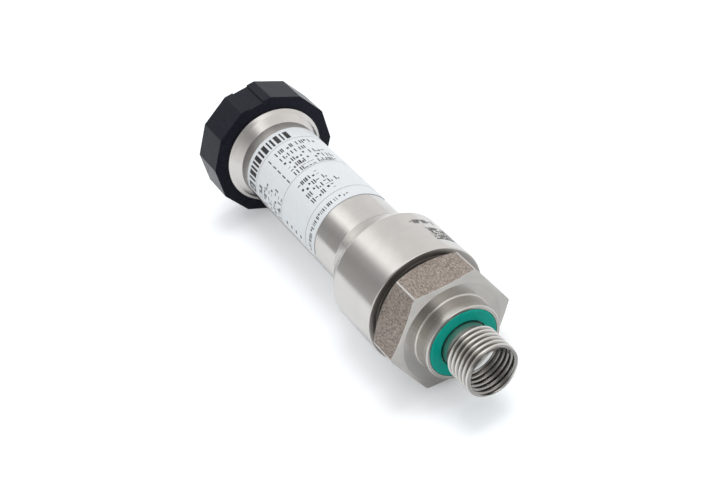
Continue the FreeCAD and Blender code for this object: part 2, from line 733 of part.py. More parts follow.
def connector_carrier():
    """Moulded carrier: spigot with O-ring groove, clamped flange, and a boss round the sleeve."""
    groove, flange = "carrier_groove_radius", "carrier_flange_radius"
    boss = "nut_lip_bore / 2 - boss_fit"
    turned_body("connector_carrier", [
        ("carrier_front", "sleeve_root_radius + slip_fit"),
        ("carrier_front", "carrier_radius"),
        ("carrier_groove_middle - groove_width / 2", "carrier_radius"),
        ("carrier_groove_middle - groove_width / 2", groove),
        ("carrier_groove_middle + groove_width / 2", groove),
        ("carrier_groove_middle + groove_width / 2", "carrier_radius"),
        ("housing_back", "carrier_radius"),
        ("housing_back", flange),
        ("flange_back", flange),
        ("flange_back", boss),
        ("carrier_back", boss),
        ("carrier_back", "plug_neck_radius + slip_fit"),
        ("sleeve_step", "plug_neck_radius + slip_fit"),
        ("sleeve_step", "sleeve_root_radius + slip_fit"),
    ])


def plug_sleeve():
    """Metal sleeve of the plug: thick root in the carrier, M12 thread outside it."""
    outer, root, neck = "plug_diameter / 2", "sleeve_root_radius", "plug_neck_radius"
    turned_body("plug_sleeve", [
        ("sleeve_front", "sleeve_root_bore / 2"),
        ("sleeve_front", root),
        ("sleeve_step", root),
        ("sleeve_step", neck),
        ("carrier_back", neck),
        ("carrier_back", outer),
        ("plug_end - plug_edge", outer),
        ("plug_end", outer + " - plug_edge"),
        ("plug_end", "plug_bore / 2"),
        ("holder_step", "plug_bore / 2"),
        ("holder_step", "sleeve_root_bore / 2"),
    ])


def pin_holder():
    """Insulator: a stepped plug with five holes and a coding rib along the mouth."""
    wide, slim = "sleeve_root_bore / 2 - holder_fit", "plug_bore / 2 - holder_fit"
    body = turned_body("pin_holder", [
        ("sleeve_front", "0"),
        ("sleeve_front", wide),
        ("holder_step", wide),
        ("holder_step", slim),
        ("holder_face", slim),
        ("holder_face", "0"),
    ])
    rib = new_sketch(body, ACROSS, "holder_face")
    draw_box(rib, "-key_width / 2", "key_width / 2", slim + " - key_height", slim + " - 0.1")
    extrude(body, "Pad", rib, "key_length")
    holes = new_sketch(body, ACROSS, "sleeve_front")
    for across, up in CONTACTS:
        draw_circle(holes, across, up, "contact_diameter + 2 * pin_fit")
    extrude(body, "Pocket", holes, "holder_face - sleeve_front", reverse=True)


def contact_pins():
    """Contact pins with a solder cup behind the holder and a chamfered tip."""
    cup, pin = "cup_diameter / 2", "contact_diameter / 2"
    for number, (across, up) in enumerate(CONTACTS, start=1):
        contact = turned_body("contact_pin_%d" % number, [
            ("contact_front", "0"),
            ("contact_front", cup),
            ("sleeve_front", cup),
            ("sleeve_front", pin),
            ("contact_end - contact_edge", pin),
            ("contact_end", pin + " - contact_edge"),
            ("contact_end", "0"),
        ])
        shift(contact, across, up)


# --- Circuit boards ---------------------------------------------------------------------------------


def sensor_board():
    """Round board, held by the header pins."""
    body = new_body("sensor_board")
    sketch = new_sketch(body, ACROSS, "sensor_board_front")
    draw_circle(sketch, "0", "0", "sensor_board_diameter")
    for across, up in HEADER_PINS:
        draw_circle(sketch, across, up, "header_pin_diameter + 2 * pin_fit")
    extrude(body, "Pad", sketch, "sensor_board_thickness")


def main_board():
    """Long board on the axis, with cut corners."""
    body = new_body("main_board")
    sketch = new_sketch(body, FLAT)
    half, cut = "board_width / 2", " - board_corner"
    front_cut, back_cut = "board_front + board_corner", "board_back - board_corner"
    draw_outline(sketch, [
        (front_cut, "-" + half),
        (back_cut, "-" + half),
        ("board_back", "-(" + half + cut + ")"),
        ("board_back", half + cut),
        (back_cut, half),
        (front_cut, half),
        ("board_front", half + cut),
        ("board_front", "-(" + half + cut + ")"),
    ])
    extrude(body, "Pad", sketch, "board_thickness", both_ways=True)


def board_guide(name, place):
    """Ring in the tube with a slot on each side for the edges of the board."""
    front = "board_front + " + place
    body = new_body(name)
    ring = new_sketch(body, ACROSS, front)
    draw_circle(ring, "0", "0", "2 * (tube_bore_radius - guide_fit)")
    draw_circle(ring, "0", "0", "2 * guide_radius")
    extrude(body, "Pad", ring, "guide_thickness")
    slot = new_sketch(body, ACROSS, front)
    half_width, half_height = "(board_width / 2 + board_fit)", "(board_thickness / 2 + board_fit)"
    draw_box(slot, "-" + half_width, half_width, "-" + half_height, half_height)
    extrude(body, "Pocket", slot, "guide_thickness", reverse=True)


def component(name, legs, face):
    """Moulded board component with a chamfered top, and legs along both sides if it has any."""
    length, width, height = name + "_length", name + "_width", name + "_height"
    back, side = length + " / 2", width + " / 2"
    body = new_body(name)
    sketch = new_sketch(body, FLAT)
    draw_box(sketch, "-" + back, back, "-" + side, side)
    extrude(body, "Pad", sketch, height)
    top = value(height)
    dress(body, "Chamfer", "Size", "chip_edge", lambda edge: edge.BoundBox.ZMin > top - TOUCH)
    if legs:
        leg_row(body, legs, back, side)
    turned_over = 0 if face > 0 else 180
    across = value(name + "_offset")
    station = value("board_front + " + name + "_place")
    body.Placement = FreeCAD.Placement(
        Vector(station, across, face * value("board_top")),
        FreeCAD.Rotation(Vector(1, 0, 0), turned_over))


def leg_row(body, legs, back, side):
    """A row of legs along each long side of a chip."""
    first_leg = "-(%s - leg_margin)" % back
    sketch = new_sketch(body, FLAT)
    tip = side + " + leg_reach"
    draw_box(sketch, first_leg, first_leg + " + leg_width", "-(" + tip + ")", tip)
    leg = extrude(body, "Pad", sketch, "leg_height")
    row = body.newObject("PartDesign::LinearPattern", body.Name + "_legs")
    row.Originals = [leg]
    row.Direction = (sketch, ["H_Axis"])
    row.Length = value("2 * (%s - leg_margin) - leg_width" % back)
    row.setExpression("Length", formula("2 * (%s - leg_margin) - leg_width" % back))
    row.Occurrences = legs
    body.Tip = row
    doc.recompute()


def circuit_boards():
    sensor_board()
    main_board()
    board_guide("front_board_guide", "front_guide_place")
    board_guide("rear_board_guide", "rear_guide_place")
    for name, (legs, face) in COMPONENTS.items():
        component(name, legs, face)


# --- Leads ------------------------------------------------------------------------------------------


def flat_strip():
    """Flat strip from the back of the round board to the top of the main board."""
    body = new_body("flat_strip")
    sketch = new_sketch(body, ALONG)
    near, far = "sensor_board_back", "sensor_board_back + strip_thickness"
    lying = "board_top + strip_thickness"
    draw_outline(sketch, [
        (near, "strip_low"),
        ("board_front", "board_top"),
        ("board_front + strip_overlap", "board_top"),
        ("board_front + strip_overlap", lying),
        ("board_front + strip_thickness", lying),
        (far, "strip_low + strip_thickness"),
        (far, "strip_high"),
        (near, "strip_high"),
    ])
    extrude(body, "Pad", sketch, "strip_width", both_ways=True)


def s_bend(start, end, lying, straight):
    """Wire path of straight ends and two equal arcs, from start to end, both ends along the axis."""
    first, last = start + Vector(lying, 0, 0), end - Vector(straight, 0, 0)
    run = (last - first) * 0.5
    aside = Vector(0, run.y, run.z)
    angle = 2 * math.atan2(aside.Length, run.x)
    radius = run.Length / 2 / math.sin(angle / 2)
    aside.normalize()
    bow = Vector(radius * math.sin(angle / 2), 0, 0) + aside * (radius * (1 - math.cos(angle / 2)))
    middle = first + run
    arcs = (Part.Arc(first, first + bow, middle), Part.Arc(middle, last - bow, last))
    curves = (Part.LineSegment(start, first),) + arcs + (Part.LineSegment(last, end),)
    return Part.Wire([curve.toShape() for curve in curves])


def lead_wires():
    """Insulated wires from the pads at the end of the main board to the contact pins."""
    radius = value("lead_diameter / 2")
    for number, contact in enumerate((3, 2, 0, 1, 4), start=1):
        across, up = CONTACTS[contact]
        pad = (number - (PIN_COUNT + 1) / 2) * value("lead_spacing")
        start = Vector(value("board_back - lead_overlap"), pad, value("board_top") + radius)
        end = Vector(value("contact_front"), value(across), value(up))
        path = s_bend(start, end, value("lead_overlap"), value("lead_straight"))
        section = Part.Wire([Part.Circle(start, Vector(1, 0, 0), radius).toShape()])
        wire = doc.addObject("Part::Feature", "lead_wire_%d" % number)
        wire.Label = wire.Name
        wire.Shape = path.makePipeShell([section], True, True)
        nodes.append(wire)


# --- The whole transmitter --------------------------------------------------------------------------

port_fitting()
seal_ring()
capsule_body()
o_ring("capsule_o_ring", "capsule_groove_middle", "pocket_radius")
diaphragm()
weld_ring()
header()
header_pins()
pressure_chip()
clamp_ring()
housing()
label()
union_nut()
connector_carrier()
o_ring("carrier_o_ring", "carrier_groove_middle", "rear_bore_radius")
plug_sleeve()
pin_holder()
contact_pins()
circuit_boards()
flat_strip()
lead_wires()
doc.recompute()


def hex_depth():
    """How far the hexagon reaches straight down from the axis, with its blunt corners."""
    blank = value("hex_blank_diameter / 2")
    step = 360 / HEX_SIDES
    from_down = abs((-90 - value("hex_turn_angle") + step / 2) % step - step / 2)
    land = step / 2 - math.degrees(math.acos(value("hex_width / 2") / blank))
    return blank * math.cos(math.radians(max(from_down - land, 0)))


def resting_line(points, balance):
    """The two support points that carry the balance point, with no other point below their line."""
    for front in points:
        for back in points:
            if not front[0] < balance < back[0]:
                continue
            slope = (back[1] - front[1]) / (back[0] - front[0])
            if all(depth <= front[1] + slope * (station - front[0]) + 1e-9 for station, depth in points):
                return front, slope


def lying_placement():
    """Port towards +X, resting on z = 0, and centred along X."""
    hexagon, body_radius, nut = hex_depth(), value("body_diameter / 2"), value("nut_flat")
    supports = (
        (value("hex_front + hex_drop"), hexagon),
        (value("hex_back - hex_drop"), hexagon),
        (value("housing_front + body_edge"), body_radius),
        (value("body_back"), body_radius),
        (value("nut_front + nut_edge"), nut),
        (value("nut_back - nut_edge"), nut),
    )
    whole = Part.Compound([node.Shape for node in nodes])
    (station, depth), slope = resting_line(supports, whole.CenterOfGravity.x)
    tilt = math.atan(slope)
    height = depth * math.cos(tilt) - station * math.sin(tilt)
    turned = FreeCAD.Rotation(Vector(0, 1, 0), math.degrees(tilt)) * FreeCAD.Rotation(Vector(0, 0, 1), 180)
    whole.Placement = FreeCAD.Placement(Vector(0, 0, height), turned)
    print("axis tilt %.4f degrees, axis height at the tip %.4f" % (math.degrees(tilt), height))
    return FreeCAD.Placement(Vector(-whole.BoundBox.Center.x, 0, height), turned)


lying = lying_placement()
for node in nodes:
    node.Placement = lying * node.Placement
doc.recompute()

faults = [item.Name for item in doc.Objects if "Invalid" in item.State or "Error" in item.State]
faults += [node.Label for node in nodes if node.Shape.isNull() or not node.Shape.isValid()]
if faults:
    raise RuntimeError("failed objects: " + ", ".join(faults))

os.makedirs("parts", exist_ok=True)
for node in nodes:
    node.Shape.exportStep("parts/%s.step" % node.Label)
print(len(nodes), "sub-parts written")
print("towards the port", lying.Rotation.multVec(Vector(-1, 0, 0)))
for place in ("0", "thread_length", "collar_front", "carrier_back", "plug_end"):
    print(place, "lies at", lying.multVec(Vector(value(place), 0, 0)))
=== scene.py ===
# %% [markdown]
# # A pressure transmitter
#
# The object is a slim steel instrument that screws into a pressure line. It lies on its side on a white
# table: a threaded port with a green seal, a hexagon for the spanner, a wide turned housing that steps
# down to a printed tube, and a black union nut that holds the electrical plug.
#
# The imported model is the fixed frame. It gives every place and size, so the first cell loads it before
# anything is added.

# %% Load the frame
import json
import math
import random

import bpy
from mathutils import Matrix, Vector


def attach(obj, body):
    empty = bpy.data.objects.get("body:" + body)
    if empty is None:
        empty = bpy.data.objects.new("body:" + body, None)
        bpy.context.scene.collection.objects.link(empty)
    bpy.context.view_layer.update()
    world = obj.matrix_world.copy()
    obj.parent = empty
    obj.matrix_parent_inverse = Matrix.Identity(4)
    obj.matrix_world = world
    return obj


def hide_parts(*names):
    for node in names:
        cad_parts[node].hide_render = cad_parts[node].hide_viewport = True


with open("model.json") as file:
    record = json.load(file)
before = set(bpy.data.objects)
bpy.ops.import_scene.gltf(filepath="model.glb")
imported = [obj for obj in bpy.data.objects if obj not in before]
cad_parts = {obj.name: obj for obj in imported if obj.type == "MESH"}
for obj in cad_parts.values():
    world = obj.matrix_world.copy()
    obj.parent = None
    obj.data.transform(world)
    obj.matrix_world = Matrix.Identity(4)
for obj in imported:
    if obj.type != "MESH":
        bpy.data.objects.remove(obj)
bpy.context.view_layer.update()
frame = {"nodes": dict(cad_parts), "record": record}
print("nodes:", len(frame["nodes"]))

# %% [markdown]
# ## One frame along the axis
#
# The transmitter is nearly a solid of revolution, so it is easiest to think in stations: millimetres
# from the tip of the port, along the axis. The axis itself is tilted a little, because the housing and
# the nut rest on the table and have different diameters. The port's mount in the record gives both the
# axis and a point on it. Every new piece is modelled level, with the tip at the origin and the port
# pointing to +X, and is then laid on that axis in one step.

# %% Read the axis from the record
MM = 0.001
MOUNT_STATION = 4.9
mounts = {mount["name"]: mount for mount in frame["record"]["mounts"]}
AXIS = Vector(mounts["port_thread"]["axis"])
TIP = Vector(mounts["port_thread"]["pos_m"]) + AXIS * MOUNT_STATION * MM
TILT = math.asin(-AXIS.z)
LAID = Matrix.Translation(TIP) @ Matrix.Rotation(TILT, 4, "Y")
print("tip:", tuple(round(c * 1000, 3) for c in TIP), "tilt:", round(math.degrees(TILT), 3))

# %% [markdown]
# ## Camera
#
# The view is that of a short telephoto lens, a little over a quarter of a metre away, in front of the
# port, above it and slightly to its left. Its place is given in the level frame, so that it goes through
# the same small tilt as the object. The camera is rolled a little, which makes the transmitter run down
# to the right.

# %% Place the camera
SENSOR, LENS = 36.0, 65.18
CAMERA_PLACE = Vector((165.0, -74.2, 207.6)) * MM
CAMERA_RIGHT = Vector((0.499, 0.834, -0.236))
CAMERA_FORWARD = Vector((-0.709, 0.237, -0.664))
camera_data = bpy.data.cameras.new("camera")
camera = bpy.data.objects.new("camera", camera_data)
bpy.context.scene.collection.objects.link(camera)
bpy.context.scene.camera = camera
camera_data.sensor_width = SENSOR
camera_data.lens = LENS
camera_data.clip_start = 0.01
forward = CAMERA_FORWARD.normalized()
right = (CAMERA_RIGHT - forward * CAMERA_RIGHT.dot(forward)).normalized()
up = right.cross(forward)
turn = Matrix((right, up, -forward)).transposed().to_4x4()
camera.matrix_world = LAID @ Matrix.Translation(CAMERA_PLACE) @ turn
print("camera at", tuple(round(c, 4) for c in camera.matrix_world.translation))

# %% [markdown]
# ## Building shader nodes
#
# Every surface below is procedural, and all of them are wired with the same small helper. It adds one
# node, sets it up, and either links or fills in each named input.

# %% A helper that adds a node
def add(tree, kind, inputs=None, **settings):
    """Adds one shader node. An input is linked if it is given a socket, and is otherwise filled in."""
    node = tree.nodes.new("ShaderNode" + kind)
    for name, setting in settings.items():
        setattr(node, name, setting)
    for name, given in (inputs or {}).items():
        if isinstance(given, bpy.types.NodeSocket):
            tree.links.new(given, node.inputs[name])
        else:
            node.inputs[name].default_value = given
    return node


def blend(tree, factor, first, second, mode="MIX"):
    """Mixes two colours, which are sockets or (r, g, b)."""
    first, second = [c if isinstance(c, bpy.types.NodeSocket) else (*c, 1) for c in (first, second)]
    return add(tree, "Mix", {0: factor, 6: first, 7: second}, data_type="RGBA", blend_type=mode).outputs[2]


def ramp(tree, factor, stops):
    """A grey colour ramp through (position, grey) stops."""
    node = add(tree, "ValToRGB", {0: factor})
    while len(node.color_ramp.elements) < len(stops):
        node.color_ramp.elements.new(1.0)
    for element, (position, grey) in zip(node.color_ramp.elements, stops):
        element.position, element.color = position, (grey, grey, grey, 1)
    return node.outputs["Color"]


def span(tree, value, low, high, to_low=0.0, to_high=1.0):
    """Maps a value from one span to another, clamped."""
    return add(tree, "MapRange", {0: value, 1: low, 2: high, 3: to_low, 4: to_high}).outputs[0]


# %% [markdown]
# ## Table and light
#
# The table is a large pale plane. The camera sees it lifted by an even glow, which turns everything but
# the deepest shadow white, so only the contact shadow under the object is left. Only camera rays meet the
# glow, so it adds no light to the object.
#
# Turned steel looks like what stands round it, so the surroundings are designed like a product studio:
# white walls, a dark card over the left side that draws the grey band along the cylinders, and a bright
# strip along the card's edge, which draws their white streak. That edge lies in a tilted plane through
# the object, so one number, the height over that plane, gives the light of every direction. One softbox
# overhead, a little to the right, gives the light a direction and keeps the shadow close on the left,
# and a weak one fills the left side. They light only what is matt, so that no second streak appears on
# the steel.

# %% Make the table
TABLE_SIZE = 6.0
TABLE_COLOUR = (0.85, 0.87, 0.89, 1)
GLOW_COLOUR = (0.96, 0.98, 1, 1)
GLOW = 0.22
bpy.ops.object.select_all(action="DESELECT")
bpy.ops.mesh.primitive_plane_add(size=TABLE_SIZE, location=(0, 0, 0))
table = bpy.context.object
table.name = "table"
table_paint = bpy.data.materials.new("table_paint")
table_paint.use_nodes = True
tree = table_paint.node_tree
paint = tree.nodes["Principled BSDF"]
paint.inputs["Base Color"].default_value = TABLE_COLOUR
paint.inputs["Roughness"].default_value = 0.8
paint.inputs["Specular IOR Level"].default_value = 0.0
seen = add(tree, "LightPath").outputs["Is Camera Ray"]
lift = add(tree, "Math", {0: seen, 1: GLOW}, operation="MULTIPLY").outputs[0]
glow = add(tree, "Emission", {"Color": GLOW_COLOUR, "Strength": lift})
both = add(tree, "AddShader", {0: paint.outputs["BSDF"], 1: glow.outputs["Emission"]})
tree.links.new(both.outputs[0], tree.nodes["Material Output"].inputs["Surface"])
table.data.materials.append(table_paint)
print("table:", TABLE_SIZE, "m wide, lifted by", GLOW)

# %% Set up the surroundings
CARD_EDGE = (-0.23, 1.0, 0.236)
LIGHT_BY_HEIGHT = [(-1.0, 0.96), (-0.75, 0.64), (-0.58, 0.46), (-0.33, 0.36), (-0.12, 0.5), (0.02, 1.1),
                   (0.11, 1.4), (0.3, 1.2), (0.5, 0.93), (0.82, 0.9), (1.0, 1.0)]
BRIGHTEST = 1.4
world = bpy.data.worlds.new("studio")
bpy.context.scene.world = world
world.use_nodes = True
tree = world.node_tree
background = tree.nodes["Background"]
towards = add(tree, "TexCoord").outputs["Generated"]
height = add(tree, "VectorMath", {0: towards, 1: CARD_EDGE}, operation="DOT_PRODUCT").outputs["Value"]
along = span(tree, height, -1.0, 1.0)
light = ramp(tree, along, [((h + 1) / 2, value / BRIGHTEST) for h, value in LIGHT_BY_HEIGHT])
light = blend(tree, 1.0, light, (BRIGHTEST, BRIGHTEST, BRIGHTEST), "MULTIPLY")
seen = add(tree, "LightPath").outputs["Is Camera Ray"]
tree.links.new(blend(tree, seen, light, (1, 1, 1)), background.inputs["Color"])
bpy.context.scene.view_settings.view_transform = "Standard"
print("light by height over the card's edge:", LIGHT_BY_HEIGHT)


# %% Add the softboxes
def softbox(name, place, aim, width, length, power):
    """A rectangular lamp at a place, pointing at the aim, both in metres."""
    lamp = bpy.data.lights.new(name, "AREA")
    lamp.shape = "RECTANGLE"
    lamp.size, lamp.size_y = width, length
    lamp.energy = power
    item = bpy.data.objects.new(name, lamp)
    item.location = place
    item.visible_glossy = False
    item.rotation_euler = (Vector(aim) - Vector(place)).to_track_quat("-Z", "Y").to_euler()
    bpy.context.scene.collection.objects.link(item)
    print(name, "gives", power, "W")


softbox("overhead", place=(0.03, 0.24, 1.0), aim=(0, 0, 0), width=0.4, length=0.4, power=3.2)
softbox("left_fill", place=(0.0, -0.6, 0.35), aim=(0, 0, 0.01), width=0.4, length=0.3, power=0.9)

# %% [markdown]
# ## Turning in Blender
#
# Most pieces here come off a lathe, so they are modelled as a turner thinks of them: one outline, spun
# about the axis. A circle primitive gives a closed chain of points, each of which is moved to its
# (station, radius). Spin makes the solid, merged doubles close its seam, and a narrow bevel breaks its
# sharp edges, because it is the broken edge that catches the light on real metal. Weighted normals
# keep the flat faces flat beside it.

# %% A helper that draws an outline
def select_only(piece):
    """Leaves object mode ready for one piece, with nothing else selected."""
    bpy.ops.object.select_all(action="DESELECT")
    piece.select_set(True)
    bpy.context.view_layer.objects.active = piece


def outline(name, points, closed=True):
    """A chain of (station, radius) points in mm, on the upper side of the level axis."""
    bpy.ops.object.select_all(action="DESELECT")
    bpy.ops.mesh.primitive_circle_add(vertices=len(points), radius=MM, fill_type="NOTHING")
    piece = bpy.context.object
    piece.name = piece.data.name = name
    for vertex, (station, radius) in zip(piece.data.vertices, points):
        vertex.co = (-station * MM, 0, radius * MM)
    if not closed:
        bpy.ops.object.mode_set(mode="EDIT")
        bpy.ops.mesh.select_mode(type="EDGE")
        bpy.ops.mesh.select_all(action="DESELECT")
        bpy.ops.object.mode_set(mode="OBJECT")
        for edge in piece.data.edges:
            edge.select = set(edge.vertices) == {0, len(points) - 1}
        bpy.ops.object.mode_set(mode="EDIT")
        bpy.ops.mesh.delete(type="EDGE")
        bpy.ops.mesh.select_mode(type="VERT")
        bpy.ops.object.mode_set(mode="OBJECT")
    return piece


def arc(station, radius, size, start, end, count=6):
    """Points of a round about a centre, all in mm, from one angle to another."""
    angles = [math.radians(start + (end - start) * step / count) for step in range(count + 1)]
    return [(station + size * math.cos(angle), radius + size * math.sin(angle)) for angle in angles]


# %% Helpers that spin it and finish its edges
def merge(piece):
    """Closes seams and turns all faces outwards."""
    select_only(piece)
    bpy.ops.object.mode_set(mode="EDIT")
    bpy.ops.mesh.select_all(action="SELECT")
    bpy.ops.mesh.remove_doubles(threshold=1e-7)
    bpy.ops.mesh.normals_make_consistent(inside=False)
    bpy.ops.object.mode_set(mode="OBJECT")


def turned(name, points, steps=128):
    """The solid that a lathe makes of an outline."""
    piece = outline(name, points)
    bpy.ops.object.mode_set(mode="EDIT")
    bpy.ops.mesh.select_all(action="SELECT")
    bpy.ops.mesh.spin(steps=steps, angle=math.tau, center=(0, 0, 0), axis=(1, 0, 0))
    bpy.ops.object.mode_set(mode="OBJECT")
    merge(piece)
    return piece


def apply_modifier(piece, kind, **settings):
    """Adds one modifier, sets it up and applies it."""
    select_only(piece)
    modifier = piece.modifiers.new(kind.lower(), kind)
    for name, setting in settings.items():
        setattr(modifier, name, setting)
    bpy.ops.object.modifier_apply(modifier=modifier.name)


def break_edges(piece, width):
    """Rounds every sharp edge by a width in mm, and keeps flat faces flat in the shading."""
    apply_modifier(piece, "BEVEL", width=width * MM, segments=2, limit_method="ANGLE",
                   angle_limit=math.radians(13), use_clamp_overlap=True, miter_outer="MITER_ARC")
    bpy.ops.object.shade_smooth_by_angle(angle=math.radians(50))
    apply_modifier(piece, "WEIGHTED_NORMAL", mode="FACE_AREA", weight=70, keep_sharp=True)


def finish_with(piece, *names):
    """Gives a piece its materials by name. They get their shaders further down."""
    for name in names:
        piece.data.materials.append(bpy.data.materials.get(name) or bpy.data.materials.new(name))


def lay_down(piece, slot, *nodes):
    """Lays a level piece on the tilted axis, in place of its CAD nodes if it has any."""
    piece.data.transform(LAID)
    piece.data.update()
    if nodes:
        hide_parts(*nodes)
    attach(piece, "root")
    xs = [vertex.co.x * 1000 for vertex in piece.data.vertices]
    triangles = sum(len(face.vertices) - 2 for face in piece.data.polygons)
    print(piece.name, "has", triangles, "triangles, x from", round(min(xs), 2), "to", round(max(xs), 2))


# %% [markdown]
# ## The port
#
# The port is one bar of stainless steel. Its stud has a G 1/4 pipe thread: 19 turns to the inch, with
# flanks at 55 degrees and rounded crests and roots. A thread can be drawn as a bump map, but its crests
# stand against the white table here, so it is cut for real. One tooth is swept along the helix by a
# Screw modifier, and the result is intersected with the plain turned stud. The stud's chamfer then cuts
# into the first turn just as the lathe tool does.

# %% Sweep a thread
def tooth(pitch, crest, depth, flank, rounding):
    """One tooth from root to root, as (offset, radius) points in mm, with rounded crest and roots."""
    bend = [math.radians(90 - flank) * step / 3 for step in range(4)]
    side = [(rounding * math.sin(a), rounding * (1 - math.cos(a))) for a in bend]
    side += [(pitch / 2 - x, depth - drop) for x, drop in reversed(side)]
    return [(-x, crest - drop) for x, drop in reversed(side)] + [(x, crest - drop) for x, drop in side[1:]]


def thread_rod(pitch, crest, depth, flank, rounding, start, end, crest_at):
    """A solid rod with a right-hand thread all along it, between two stations."""
    first = crest_at + pitch * (math.ceil((end - crest_at) / pitch) + 1)
    turns = math.ceil((first - start) / pitch) + 2
    profile = [(first + x, r) for x, r in tooth(pitch, crest, depth, flank, rounding)]
    rod = outline("rod", profile, closed=False)
    apply_modifier(rod, "SCREW", axis="X", angle=math.tau, screw_offset=pitch * MM, iterations=turns,
                   steps=96, render_steps=96, use_merge_vertices=False)
    merge(rod)
    bpy.ops.object.mode_set(mode="EDIT")
    for station, facing in ((start, 1), (end, -1)):
        bpy.ops.mesh.select_all(action="SELECT")
        bpy.ops.mesh.bisect(plane_co=(-station * MM, 0, 0), plane_no=(facing, 0, 0), use_fill=True,
                            clear_outer=True)
    bpy.ops.object.mode_set(mode="OBJECT")
    merge(rod)
    return rod


def cut_with(piece, tool, operation):
    """Boolean of a piece with a tool, which is used up."""
    apply_modifier(piece, "BOOLEAN", operation=operation, object=tool, solver="EXACT")
    bpy.data.objects.remove(tool)


# %% Turn and thread the stud
BORE = 1.1
STUD_END = 14.0
THREAD_EDGE = math.radians(24)
stud = turned("port", [
    (0, 1.35), (0, 5.4), (0.05, 5.45), (1.18, 6.58), (8.7, 6.58), (9.68, 5.6), (STUD_END, 5.6),
    (STUD_END, BORE), (0.25, BORE)], steps=192)
pipe_rod = thread_rod(pitch=1.337, crest=6.5785, depth=0.856, flank=27.5, rounding=0.184, start=-1.0,
                      end=10.2, crest_at=3.15)
cut_with(stud, pipe_rod, "INTERSECT")
neck = turned("neck", [(10.2, 5.6), (STUD_END, 5.6), (STUD_END, BORE), (10.2, BORE)], steps=192)
for part in (stud, neck):
    select_only(part)
    bpy.ops.object.shade_smooth_by_angle(angle=THREAD_EDGE)
print("stud faces:", len(stud.data.polygons))

# %% [markdown]
# The collar, the hexagon and the spigot follow. The hexagon starts as a ring with both chamfers turned
# on it, and six flats are then cut off with Bisect, which fills each cut. The chamfer meets every flat
# in the curved line that a real hexagon has, with no drawing of that curve. The rear chamfer is steep, and
# leaves only a narrow groove in front of the housing. The flats get a finish of their own, because they
# were drawn and milled, while all other faces were turned.

# %% Turn the collar and the spigot
collar = turned("collar", [
    (13.5, BORE), (13.5, 8.64), (12.0, 8.64), (12.0, 9.3), (12.2, 9.5)]
    + arc(15.95, 9.9, 0.4, -90, 0)
    + [(16.6, 9.9), (16.6, 12.0), (27.15, 12.0), (27.15, 12.97), (33.15, 12.97), (33.15, 10.03),
       (29.15, 10.03), (29.15, 9.6), (21.75, 9.6), (21.75, BORE)], steps=160)
break_edges(collar, 0.12)


# %% Mill the hexagon
def mill_flats(piece, distance, angles):
    """Cuts one flat for each section angle, at a distance from the axis in mm."""
    select_only(piece)
    bpy.ops.object.mode_set(mode="EDIT")
    for angle in angles:
        facing = Vector((0, math.cos(math.radians(angle)), math.sin(math.radians(angle))))
        bpy.ops.mesh.select_all(action="SELECT")
        bpy.ops.mesh.bisect(plane_co=facing * distance * MM, plane_no=facing, use_fill=True,
                            clear_outer=True)
    bpy.ops.object.mode_set(mode="OBJECT")
    merge(piece)


HEX_CORNER = -6.4
HEX_FLAT = 13.5
SMALLEST_FLAT = 50 * MM * MM
hexagon = turned("hexagon", [
    (16.35, 9.0), (16.35, 12.6), (17.114, 15.45), (24.386, 15.45), (25.9, 13.43), (25.9, 11.0),
    (20.0, 11.0), (20.0, 9.0)], steps=240)
mill_flats(hexagon, HEX_FLAT, [HEX_CORNER + 30 + 60 * side for side in range(6)])
break_edges(hexagon, 0.1)
finish_with(hexagon, "stainless_steel", "milled_steel")
for face in hexagon.data.polygons:
    if face.area > SMALLEST_FLAT and abs(face.normal.x) < 0.1:
        face.material_index = 1
print("flats:", sum(face.material_index for face in hexagon.data.polygons))

# %% Join the port and lay it down
for part in (stud, neck, collar):
    finish_with(part, "stainless_steel")
bpy.ops.object.select_all(action="DESELECT")
for part in (neck, collar, hexagon, stud):
    part.select_set(True)
bpy.context.view_layer.objects.active = stud
bpy.ops.object.join()
lay_down(stud, "stainless_steel", "port_fitting")

# %% [markdown]
# ## The housing
#
# The housing is turned from one piece as well. Its outline has a long slim tube between two wider ends:
# a chamber with a conical shoulder at the front, and a rim with a short cone and a small lip at the
# back, over which the nut is screwed.

# %% Turn the housing
housing = turned("housing_shell", [
    (27.15, 13.0), (27.15, 14.8), (27.35, 15.0), (43.0, 15.0), (49.93, 11.0), (98.83, 11.0),
    (101.04, 12.55), (101.69, 13.5), (108.53, 13.5), (108.53, 10.5), (102.53, 10.5), (102.53, 9.5),
    (42.0, 9.5), (42.0, 12.0), (33.15, 12.0), (33.15, 13.0)], steps=192)
break_edges(housing, 0.12)
finish_with(housing, "housing_steel")
lay_down(housing, "housing_steel", "housing")

# %% [markdown]
# ## The union nut
#
# The nut is a ring with twelve flats, cut in the same way as the hexagon. A shallow slot runs along its
# upper flat. The slot is a Boolean cut with a bar, and the bevel comes last, so that the slot's edges
# are broken too.

# %% Make the nut
NUT_FLAT = 16.5
SLOT_PLACE = Vector((-107.4, 0, 17.1)) * MM
SLOT_BAR = (14, 4.3, 2.0)
nut = turned("nut", [
    (102.43, 13.55), (102.43, 17.3), (112.33, 17.3), (112.33, 9.0), (110.33, 9.0), (110.33, 13.55)],
    steps=240)
mill_flats(nut, NUT_FLAT, [30 * side for side in range(12)])
bpy.ops.object.select_all(action="DESELECT")
bpy.ops.mesh.primitive_cube_add(size=MM, location=SLOT_PLACE, scale=SLOT_BAR)
cut_with(nut, bpy.context.object, "DIFFERENCE")
break_edges(nut, 0.12)
finish_with(nut, "black_nut")
lay_down(nut, "black_nut", "union_nut")

# %% [markdown]
# ## The plug's sleeve
#
# The sleeve behind the nut has an M12 thread with a pitch of 1 mm, made in the same way as the port's.

